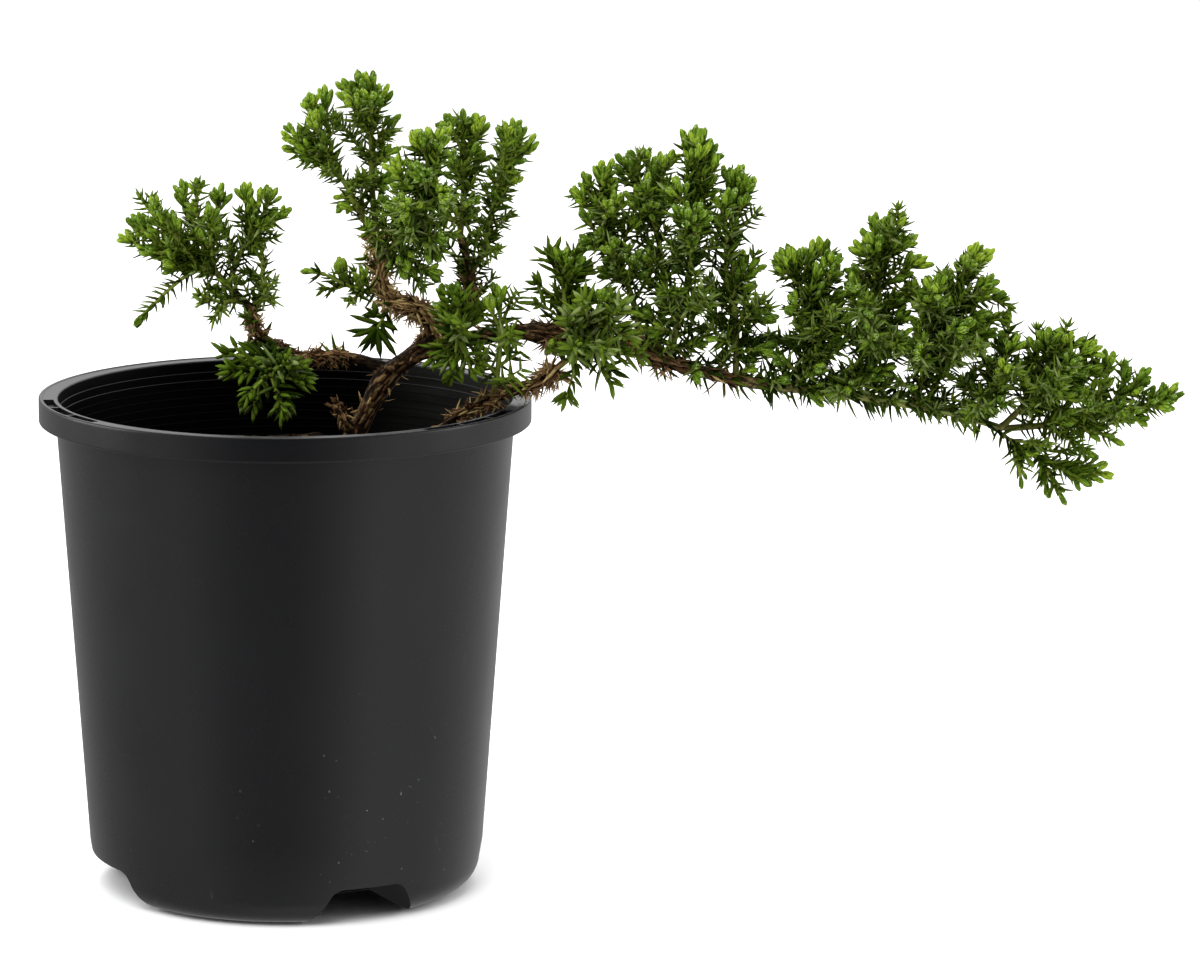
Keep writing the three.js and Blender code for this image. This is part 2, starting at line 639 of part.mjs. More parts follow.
function massSolid({ name, stem, twigs }, order) {
  const random = dice(growth.seed + order);
  const pieces = [needledTube(name, stem, stemRadii(), random)];
  twigs.forEach((twig) => pieces.push(needledTube(name, twig, twigRadii(), random)));
  const whole = Manifold.union(pieces.map(solid)).subtract(Manifold.union(swollen));
  swell(stem.points, stemRadii(), 3);
  return largestBody(whole.simplify(growth.fine));
}

addPiece('pot', geometryOf(potSolid()), 'pot');
addPiece('soil', geometryOf(soilSolid()), 'soil');
addPiece('trunk', geometryOf(trunkSolid()), 'bark');
for (const name of Object.keys(limbs).filter((other) => other !== 'trunk')) {
  addPiece(name, geometryOf(limbSolid(name)), name === 'bough_outer' ? 'youngBark' : 'bark');
}
Object.entries(masses)
  .map(([name, mass]) => growMass(name, mass))
  .forEach((mass, order) => addPiece(mass.name, geometryOf(massSolid(mass, order)), 'needles'));

export default part;
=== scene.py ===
# A young creeping juniper in a black nursery pot: the surfaces of the pot, the wood and the foliage.
import math

import bmesh
import bpy
import numpy as np
from mathutils import Matrix, Vector, noise


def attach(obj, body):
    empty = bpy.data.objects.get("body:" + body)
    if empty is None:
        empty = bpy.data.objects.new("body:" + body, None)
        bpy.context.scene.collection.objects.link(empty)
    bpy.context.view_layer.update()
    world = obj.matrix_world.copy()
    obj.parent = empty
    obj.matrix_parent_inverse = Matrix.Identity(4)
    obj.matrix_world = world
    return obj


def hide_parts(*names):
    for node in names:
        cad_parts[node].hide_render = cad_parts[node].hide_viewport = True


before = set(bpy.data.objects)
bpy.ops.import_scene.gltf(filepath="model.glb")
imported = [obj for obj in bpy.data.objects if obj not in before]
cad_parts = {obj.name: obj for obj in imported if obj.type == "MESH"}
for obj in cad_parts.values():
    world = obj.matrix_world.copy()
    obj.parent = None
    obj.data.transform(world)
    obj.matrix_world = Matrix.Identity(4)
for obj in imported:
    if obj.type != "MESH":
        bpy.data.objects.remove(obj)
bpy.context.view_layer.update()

mm = 0.001  # places and sizes below are in millimetres, and meshes are in metres
up = np.array([0.0, 0.0, 1.0])


# Small helpers for materials. Colours are linear red, green and blue.
def newMaterial(name, colour, roughness, specular=0.5):
    material = bpy.data.materials.new(name)
    material.use_nodes = True
    shader = material.node_tree.nodes["Principled BSDF"]
    shader.inputs["Base Color"].default_value = (*colour, 1)
    shader.inputs["Roughness"].default_value = roughness
    shader.inputs["Specular IOR Level"].default_value = specular
    return material, material.node_tree, shader


# A node, its settings, and what its sockets hold: another node's output, or a value.
def addNode(tree, kind, sockets=None, **settings):
    node = tree.nodes.new(kind)
    for key, value in settings.items():
        setattr(node, key, value)
    for key, source in (sockets or {}).items():
        socket = node.inputs[key]
        if isinstance(source, bpy.types.NodeSocket):
            tree.links.new(source, socket)
        else:
            socket.default_value = (*source, 1) if socket.type == "RGBA" else source
    return node


def objectPlace(tree):
    return addNode(tree, "ShaderNodeTexCoord").outputs["Object"]


def noiseNode(tree, place, scale, detail=3, stretch=None, roughness=0.55):
    if stretch:
        place = addNode(tree, "ShaderNodeMapping", {"Vector": place, "Scale": stretch}).outputs["Vector"]
    sockets = {"Vector": place, "Scale": scale, "Detail": detail, "Roughness": roughness}
    return addNode(tree, "ShaderNodeTexNoise", sockets).outputs["Fac"]


# Each stop is a place from 0 to 1 and a colour, or a single grey.
def rampNode(tree, value, stops):
    ramp = addNode(tree, "ShaderNodeValToRGB", {"Fac": value})
    elements = ramp.color_ramp.elements
    while len(elements) < len(stops):
        elements.new(0.5)
    for element, (where, colour) in zip(elements, stops):
        element.position = where
        element.color = (*colour, 1) if isinstance(colour, tuple) else (colour, colour, colour, 1)
    return ramp.outputs["Color"]


# 6 and 7 are the sockets of the two colours, and output 2 is their mix.
def mixNode(tree, share, first, second):
    sockets = {"Factor": share, 6: first, 7: second}
    return addNode(tree, "ShaderNodeMix", sockets, data_type="RGBA").outputs[2]


def mathNode(tree, operation, first, second=0.0):
    return addNode(tree, "ShaderNodeMath", {0: first, 1: second}, operation=operation).outputs[0]


def addBump(tree, shader, height, strength, distance):
    bump = addNode(tree, "ShaderNodeBump", {"Height": height, "Strength": strength, "Distance": distance})
    tree.links.new(bump.outputs["Normal"], shader.inputs["Normal"])


def plainMaterials(colours, roughness):
    return [newMaterial(name, colour, roughness, 0.02)[0] for name, colour in colours.items()]


# Small helpers for pieces.
def newObject(name, data):
    thing = bpy.data.objects.new(name, data)
    bpy.context.scene.collection.objects.link(thing)
    return thing


def newPiece(name, mesh, materials, replaced=()):
    piece = newObject(name, mesh)
    for material in materials:
        mesh.materials.append(material)
    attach(piece, "root")
    if replaced:
        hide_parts(*replaced)
    print(name, len(mesh.polygons), "faces")


def meshOf(bm, name):
    mesh = bpy.data.meshes.new(name)
    bm.to_mesh(mesh)
    bm.free()
    return mesh


def finishMesh(bm, name):
    bmesh.ops.remove_doubles(bm, verts=bm.verts, dist=0.002 * mm)
    bmesh.ops.recalc_face_normals(bm, faces=bm.faces)
    return meshOf(bm, name)


# The mesh of an object as its modifiers or its bevel leave it. The object itself is then removed.
def evaluatedMesh(holder):
    bpy.context.view_layer.update()
    ready = holder.evaluated_get(bpy.context.evaluated_depsgraph_get())
    mesh = bpy.data.meshes.new_from_object(ready)
    bpy.data.objects.remove(holder)
    return mesh


def modified(mesh, kind, **settings):
    holder = newObject("holder", mesh)
    modifier = holder.modifiers.new(kind, kind)
    for key, value in settings.items():
        setattr(modifier, key, value)
    return evaluatedMesh(holder)


# One mesh joined to another or cut by it.
def combined(mesh, other, operation):
    tool = newObject("tool", other)
    result = modified(mesh, "BOOLEAN", object=tool, operation=operation, solver="EXACT")
    bpy.data.objects.remove(tool)
    return result


# Faces are smooth, but for edges that turn by more than the angle.
def smoothShade(mesh, angle):
    bm = bmesh.new()
    bm.from_mesh(mesh)
    for face in bm.faces:
        face.smooth = True
    for edge in bm.edges:
        edge.smooth = len(edge.link_faces) == 2 and edge.calc_face_angle(0) < math.radians(angle)
    bm.to_mesh(mesh)
    bm.free()


# The pot: a spun wall with a hanging band round its mouth, a flat web between them, and four drain notches
# at its foot. "wider" is how much further round the pot a notch reaches on its far side.
pot = {
    "height": 167, "rimRadius": 82.5, "wall": 1.3, "topRadius": 77.3, "footRadius": 65.5,
    "footRound": 9.5, "floor": 2.4, "segments": 192,
    "band": {"foot": 158.8, "wall": 1.3, "round": 0.5, "chamfer": 0.4},
    "web": {"top": 166.7, "under": 164.7, "round": 0.7},
    "rings": {"first": 4, "pitch": 2.8, "count": 9, "height": 0.12, "half": 0.22},  # inside the mouth
    "slots": {"centres": [85, 205, 325], "width": 34, "cells": 3, "rib": 0.9},  # through the web
    "notches": {"centres": [28, 118, 208, 298], "wider": [0, 0, 18, 0], "height": 12.3, "topHalf": 11,
                "bottomHalf": 20, "corner": 5, "depth": 40, "wall": 1.6, "drainRadius": 4},
}


def wallRadius(height):
    return pot["footRadius"] + (pot["topRadius"] - pot["footRadius"]) * height / pot["web"]["top"]


# Points on an arc from a starting direction, for a rounded corner of a profile.
def cornerArc(centre, radius, start, turn=-90, steps=5):
    angles = [math.radians(start + turn * i / steps) for i in range(steps + 1)]
    return [(centre[0] + radius * math.cos(a), centre[1] + radius * math.sin(a)) for a in angles]


# The pot's outline from the middle of its underside, out, up, over the rim and down inside to the floor.
def potProfile():
    rim, wall, foot, floor = pot["rimRadius"], pot["wall"], pot["footRadius"], pot["floor"]
    footRound, band, web, rings = pot["footRound"], pot["band"], pot["web"], pot["rings"]
    inner = rim - band["wall"]
    edge = band["round"]
    slope = 4  # the wall leans out by about this angle, where the foot's rounding meets it
    outside = [(0, 0)] + cornerArc((foot - footRound, footRound), footRound, -90, 90 - slope, 14)
    outside += [(wallRadius(h), h) for h in np.linspace(footRound * 1.6, web["under"] - 0.8, 14)]
    outside += [(wallRadius(web["under"]) + 0.5, web["under"]), (inner, web["under"])]
    lip = [(inner, band["foot"] + band["chamfer"]), (inner + band["chamfer"], band["foot"])]
    lip += cornerArc((rim - edge, band["foot"] + edge), edge, -90, 90, 3)
    lip += [(rim, band["foot"] + 0.8), (rim, pot["height"] - 1.1)]  # these keep the band's face flat
    lip += cornerArc((rim - edge, pot["height"] - edge), edge, 0, 90, 4)
    lip += [(inner + 0.3, pot["height"]), (inner, pot["height"] - 0.15), (inner - 0.2, web["top"])]
    bevel = web["round"]
    mouth = cornerArc((pot["topRadius"] - wall + bevel, web["top"] - bevel), bevel, 90, 90, 4)
    for ring in range(rings["count"]):
        for side in (-1, 0, 1):
            height = web["top"] - rings["first"] - ring * rings["pitch"] - side * rings["half"]
            mouth.append((wallRadius(height) - wall - rings["height"] * (side == 0), height))
    centre = (foot - footRound, footRound + floor - wall)
    mouth += cornerArc(centre, footRound - wall, slope, -90 - slope, 8)
    return outside + lip + mouth + [(0, floor)]


# An outline of (radius, height) pairs turned round Z.
def spun(profile, segments, angle=360, closed=False):
    bm = bmesh.new()
    verts = [bm.verts.new((radius * mm, 0, height * mm)) for radius, height in profile]
    edges = [bm.edges.new(pair) for pair in zip(verts, verts[1:])]
    if closed:
        bm.faces.new(verts)
        edges = bm.edges[:]
    geometry = verts + edges + bm.faces[:]
    bmesh.ops.spin(bm, geom=geometry, cent=(0, 0, 0), axis=(0, 0, 1), angle=math.radians(angle),
                   steps=segments, use_merge=angle == 360, use_duplicate=False)
    return bm


def turnRound(bm, angle):
    turn = Matrix.Rotation(math.radians(angle), 3, "Z")
    bmesh.ops.rotate(bm, verts=bm.verts, cent=(0, 0, 0), matrix=turn)


# Each drain notch as a block along a spoke of the pot. Grown by the wall of its pocket, the block reaches
# into the pot's floor and further in.
def notchBlocks(grow):
    notches = pot["notches"]
    low = pot["floor"] * 0.5 if grow else -2
    high = notches["height"] + grow
    topHalf = notches["topHalf"] + grow * 0.7
    bottomHalf = notches["bottomHalf"] + grow
    radius = notches["corner"]
    near = pot["footRadius"] - notches["depth"] - grow
    reach = pot["footRadius"] + pot["footRound"] - near
    slope = 180 - math.degrees(math.atan2(high - low, bottomHalf - topHalf))
    corner = cornerArc((topHalf - radius * 0.35, high - radius), radius, slope - 90, 180 - slope, 5)
    whole = bmesh.new()
    for angle, wider in zip(notches["centres"], notches["wider"]):
        outline = [(bottomHalf, low)] + corner
        outline += [(-x - wider, z) for x, z in reversed(corner)] + [(-bottomHalf - wider, low)]
        bm = bmesh.new()
        face = bm.faces.new([bm.verts.new((near * mm, x * mm, z * mm)) for x, z in outline])
        pushed = bmesh.ops.extrude_face_region(bm, geom=[face])["geom"]
        far = [v for v in pushed if isinstance(v, bmesh.types.BMVert)]
        bmesh.ops.translate(bm, verts=far, vec=(reach * mm, 0, 0))
        turnRound(bm, angle)
        whole.from_mesh(finishMesh(bm, "notch"))
    return finishMesh(whole, "notches")


# The openings in the web: three cells side by side at each of three places.
def webCells():
    slots = pot["slots"]
    inner = pot["topRadius"] + 0.3
    outer = pot["rimRadius"] - pot["band"]["wall"] - 0.2
    low, high = pot["web"]["under"] - 1, pot["web"]["top"] + 1
    outline = [(inner, low), (outer, low), (outer, high), (inner, high)]
    rib = math.degrees(slots["rib"] / inner)
    cell = slots["width"] / slots["cells"]
    whole = bmesh.new()
    for centre in slots["centres"]:
        for i in range(slots["cells"]):
            bm = spun(outline, 10, cell - rib, closed=True)
            turnRound(bm, centre + (i - slots["cells"] / 2) * cell + rib / 2)
            whole.from_mesh(finishMesh(bm, "cell"))
    return finishMesh(whole, "cells")


# A round hole up through the roof of each drain notch.
def drainHoles():
    notches = pot["notches"]
    radius = notches["drainRadius"] * mm
    reach = (pot["footRadius"] - notches["depth"] * 0.5) * mm
    middle = (notches["height"] + 1) * mm
    bm = bmesh.new()
    for angle in notches["centres"]:
        place = Matrix.Rotation(math.radians(angle), 4, "Z") @ Matrix.Translation((reach, 0, middle))
        bmesh.ops.create_cone(bm, cap_ends=True, segments=40, radius1=radius, radius2=radius,
                              depth=8 * mm, matrix=place)
    return finishMesh(bm, "holes")


# Which faces look like what. A face's steepness is how far its normal points up.
potFaces = {
    "rimSteep": 0.35, "litRingSteep": 0.2, "wallFrom": 16, "wallInset": 0.4,
    "notchFrom": 0.5, "notchTo": 15, "notchDeep": 45, "notchOutward": 0.3,
}


# The place of a face's material among the pot's four: the outside, the inner wall and the notches' pockets,
# duller and darker as painted shade, the scuffed top of the rim, and the upward faces of the rings in the
# mouth, painted a dim grey as highlights.
def potLook(face):
    reach = math.hypot(face.center.x, face.center.y) / mm
    height = face.center.z / mm
    outward = (face.normal.x * face.center.x + face.normal.y * face.center.y) / (reach * mm)
    if height > pot["band"]["foot"] and face.normal.z > potFaces["rimSteep"]:
        return 2
    inWall = reach < wallRadius(height) - potFaces["wallInset"]
    if inWall and potFaces["wallFrom"] < height < pot["web"]["top"] - 0.3:
        return 3 if face.normal.z > potFaces["litRingSteep"] else 1
    # Faces deep in a notch's pocket, or turned away from the outside there, get the inner material: painted
    # shade.
    inside = reach < potFaces["notchDeep"] or outward < potFaces["notchOutward"]
    return int(inside and potFaces["notchFrom"] < height < potFaces["notchTo"])


def makePot(materials):
    shell = finishMesh(spun(potProfile(), pot["segments"]), "pot_shell")
    foot, footRound, inset = pot["footRadius"], pot["footRound"], 0.6
    core = [(0, 0.2)] + cornerArc((foot - footRound, footRound), footRound - inset, -90, 90, 10)
    core += [(foot - inset, 25), (0, 25)]
    core = finishMesh(spun(core, pot["segments"]), "core")
    pockets = combined(notchBlocks(pot["notches"]["wall"]), core, "INTERSECT")
    body = combined(shell, pockets, "UNION")
    for tool in (notchBlocks(0), drainHoles(), webCells()):
        body = combined(body, tool, "DIFFERENCE")
    smoothShade(body, 24)
    for face in body.polygons:
        face.material_index = potLook(face)
    newPiece("pot_body", body, materials, ["pot"])


# Black plastic with pale dust: a speck wherever a sharp noise comes near its top. The scratches are longer
# up and down than across.
def potMaterial():
    material, tree, shader = newMaterial("black moulded plastic", (0.005, 0.005, 0.006), 0.3, 0.45)
    place = objectPlace(tree)
    cloud = noiseNode(tree, place, 22, 4)
    dark = mixNode(tree, cloud, (0.0026, 0.0027, 0.0034), (0.0046, 0.0048, 0.0058))
    dustAndPaintedLight = rampNode(tree, noiseNode(tree, place, 520, 2), [(0.0, 0.0), (0.72, 0.0), (0.78, 0.8)])
    patch = rampNode(tree, noiseNode(tree, place, 9, 2), [(0.0, 0.0), (0.46, 0.0), (0.7, 1.0)])
    specks = mathNode(tree, "MULTIPLY", dustAndPaintedLight, patch)
    scratch = noiseNode(tree, place, 260, 1, (1, 1, 0.12))
    scratch = rampNode(tree, scratch, [(0.0, 0.0), (0.75, 0.0), (0.8, 0.5)])
    marks = mathNode(tree, "MAXIMUM", specks, mathNode(tree, "MULTIPLY", scratch, patch))
    tree.links.new(mixNode(tree, marks, dark, (0.2, 0.2, 0.21)), shader.inputs["Base Color"])
    rough = rampNode(tree, noiseNode(tree, place, 40, 5), [(0.25, 0.24), (0.75, 0.33)])
    tree.links.new(rough, shader.inputs["Roughness"])
    addBump(tree, shader, noiseNode(tree, place, 900, 2), 0.12, 0.05 * mm)
    return material


# The inner wall and the notches' pockets are painted shade: far darker and duller than the outside. On its
# right the inner wall is painted a little lighter, in streaks, as painted light.
def innerShadeMaterial():
    paintedShade = (0.0003, 0.0003, 0.0003)
    litFrom, litTo = 22 * mm, 62 * mm
    material, tree, shader = newMaterial("inner plastic with painted shade and light", paintedShade, 0.5, 0.02)
    place = objectPlace(tree)
    # Painted light: from the painted shade up to a dim grey, in streaks, rising towards the right.
    right = addNode(tree, "ShaderNodeSeparateXYZ", {"Vector": place}).outputs["X"]
    right = mathNode(tree, "MULTIPLY", mathNode(tree, "SUBTRACT", right, litFrom), 1 / (litTo - litFrom))
    litStreaks = noiseNode(tree, place, 90, 4, (0.3, 0.3, 3))
    dustAndPaintedLight = rampNode(tree, mathNode(tree, "MULTIPLY", right, litStreaks), [(0.0, 0.0), (0.7, 1.0)])
    tree.links.new(mixNode(tree, dustAndPaintedLight, paintedShade, (0.018, 0.018, 0.017)), shader.inputs["Base Color"])
    return material


def edgeMaterials():
    scuffed = newMaterial("scuffed rim", (0.006, 0.006, 0.0065), 0.46, 0.12)[0]
    # The rings' upward faces are a dim grey: painted highlights along the rings.
    rings = newMaterial("ring tops painted lit", (0.0022, 0.0022, 0.0022), 0.6, 0.02)[0]
    return [scuffed, rings]


# The soil: a body with a rough top, a low mound by the trunk, and loose chips of bark on it.
soil = {
    "level": 140, "relief": 1.6, "grain": 0.11, "highest": 2.4, "segments": 144, "rings": 46,
    "mound": {"height": 1.4, "middle": 15, "spread": 260},
}


def soilHeight(x, y):
    place = Vector((x * soil["grain"], y * soil["grain"], 3.0))
    lumps = noise.fractal(place, 1.0, 2.0, 5) * soil["relief"]
    mound = soil["mound"]
    rise = mound["height"] * math.exp(-((x - mound["middle"]) ** 2 + y ** 2) / mound["spread"])
    return soil["level"] + min(lumps + rise, soil["highest"])


# It fills the pot, but for the floor's thickness and the pockets over the drain notches.
def makeSoil(material):
    notches, level = pot["notches"], soil["level"]
    gap = pot["wall"] + 0.25
    edge = wallRadius(level) - gap
    low = pot["floor"] + 0.3
    inner = pot["footRadius"] - notches["depth"] - 2.4
    roof = notches["height"] + notches["wall"] + 0.6
    profile = [(0, low), (inner, low), (inner, roof), (wallRadius(roof) - gap, roof), (edge, level - 1)]
    profile += [(edge * i / soil["rings"], level) for i in range(soil["rings"], -1, -1)]
    bm = spun(profile, soil["segments"])
    for vert in bm.verts:
        if vert.co.z > (level - 0.5) * mm:
            vert.co.z = soilHeight(vert.co.x / mm, vert.co.y / mm) * mm
    mesh = finishMesh(bm, "soil")
    smoothShade(mesh, 60)
    newPiece("potting_mix", mesh, [material], ["soil"])


# Loose chips of bark: boxes with uneven corners, tipped a little, half sunk in the soil.
chips = {
    "count": 420, "long": [2.5, 8], "wide": [1, 3], "thick": [0.5, 1.5], "uneven": 0.32, "tip": 0.25,
    "roll": 0.2, "wallRoom": 6, "trunkRoom": 9, "seed": 7,
    "colours": {"chip black": (0.015, 0.01, 0.007), "chip dark": (0.04, 0.024, 0.014),
                "chip brown": (0.085, 0.05, 0.028)},
}


def makeChips():
    random = np.random.default_rng(chips["seed"])
    reach = wallRadius(soil["level"]) - pot["wall"] - chips["wallRoom"]
    bm = bmesh.new()
    for i in range(chips["count"]):
        angle, share = random.random() * 2 * math.pi, math.sqrt(random.random())
        x, y = reach * share * math.cos(angle), reach * share * math.sin(angle)
        size = [random.uniform(*chips[key]) for key in ("long", "wide", "thick")]
        turn = Matrix.Rotation(random.random() * 6.3, 4, "Z")
        turn = turn @ Matrix.Rotation(random.normal(0, chips["tip"]), 4, "X")
        turn = turn @ Matrix.Rotation(random.normal(0, chips["roll"]), 4, "Y")
        if math.hypot(x - limbs["trunk"]["line"][0][0], y) < chips["trunkRoom"]:
            continue
        place = Matrix.Translation(Vector((x, y, soilHeight(x, y) + size[2] * 0.2)) * mm) @ turn
        block = Matrix.Diagonal((*(value * mm for value in size), 1))
        made = bmesh.ops.create_cube(bm, size=1, matrix=place @ block)
        tone = int(random.integers(0, len(chips["colours"])))
        for vert in made["verts"]:
            vert.co += Vector(random.normal(0, chips["uneven"], 3)) * mm
            for face in vert.link_faces:
                face.material_index = tone
    newPiece("bark_chips", finishMesh(bm, "chips"), plainMaterials(chips["colours"], 0.95))


def soilMaterial():
    material, tree, shader = newMaterial("moist bark mix", (0.03, 0.02, 0.014), 0.95, 0.2)
    place = objectPlace(tree)
    crumbs = noiseNode(tree, place, 420, 5, roughness=0.65)
    stops = [(0.3, (0.008, 0.006, 0.004)), (0.52, (0.03, 0.019, 0.012)), (0.66, (0.075, 0.045, 0.026)),
             (0.8, (0.16, 0.11, 0.07))]
    tree.links.new(rampNode(tree, crumbs, stops), shader.inputs["Base Color"])
    addBump(tree, shader, crumbs, 0.9, 0.8 * mm)
    return material


# The limbs, on the frame's middle lines: points on the line, then the radius at either end.
# A knob is a swelling: where it sits from 0 to 1, how much wider, and how long it is.
limbs = {
    "trunk": {
        "line": [[14, 0, 136], [16, 0, 140.5], [20, 0, 147.5], [26.5, 0, 160],
                 [33.5, 0, 173], [42, 2, 180], [51, 4, 185.5]],
        "from": 3.4, "to": 3.0, "knobs": [[0.06, 1.8, 0.08], [0.66, 0.8, 0.07], [0.97, 1.6, 0.08]]},
    "bough_left": {
        "line": [[35, 0.5, 176], [23, 3, 179], [13, 4, 179.5], [4.5, 3, 179.5],
                 [-3.5, 2, 183.5], [-10, 1, 188], [-12, 1, 196], [-20, 0, 204.5]],
        "from": 2.0, "to": 1.3},
    "bough_top_left": {
        "line": [[51, 3.5, 186], [48, 2, 193], [42.5, 2, 197], [34.5, 3, 199],
                 [31, 5, 209.5], [30, 6, 222]],
        "from": 2.7, "to": 1.3},
    "bough_centre": {
        "line": [[51.5, 6, 186.5], [57.5, 9, 191.5], [61.5, 10, 197.5], [61.5, 8, 208], [58, 4, 220.5]],
        "from": 2.2, "to": 1.2},
    "bough_long": {
        "line": [[52, 3, 185], [63.5, 2, 186.5], [76.5, 1, 188.5], [87, 0, 188.5],
                 [102, 0, 186], [115, 0, 185], [125, 0, 180]],
        "from": 2.6, "to": 2.2, "knobs": [[0.47, 1.3, 0.05]]},
    "bough_outer": {
        "line": [[125, 0, 180], [132.5, 0, 178], [155, 0, 172.5],
                 [185.5, 0, 169], [219.5, 0, 163.5], [241, 0, 157.5]],
        "from": 2.5, "to": 1.1},
    "bough_low": {
        "line": [[19, -2, 149], [32, -8, 149.5], [48.5, -10, 156], [65, -11, 166],
                 [76.5, -11, 170], [85.5, -10, 174], [91, -8, 178]],
        "from": 1.4, "to": 1, "knobs": [[0.98, 1.2, 0.06]]},
}
stub = {"line": [[23, -1, 154], [19.5, -3, 159], [18.5, -4, 163], [16.5, -4, 165]], "from": 2.2, "to": 1.3}
knot = {"line": [[35.5, -1.5, 175.5], [36, -3.2, 178]], "from": 1.7, "to": 1.9}

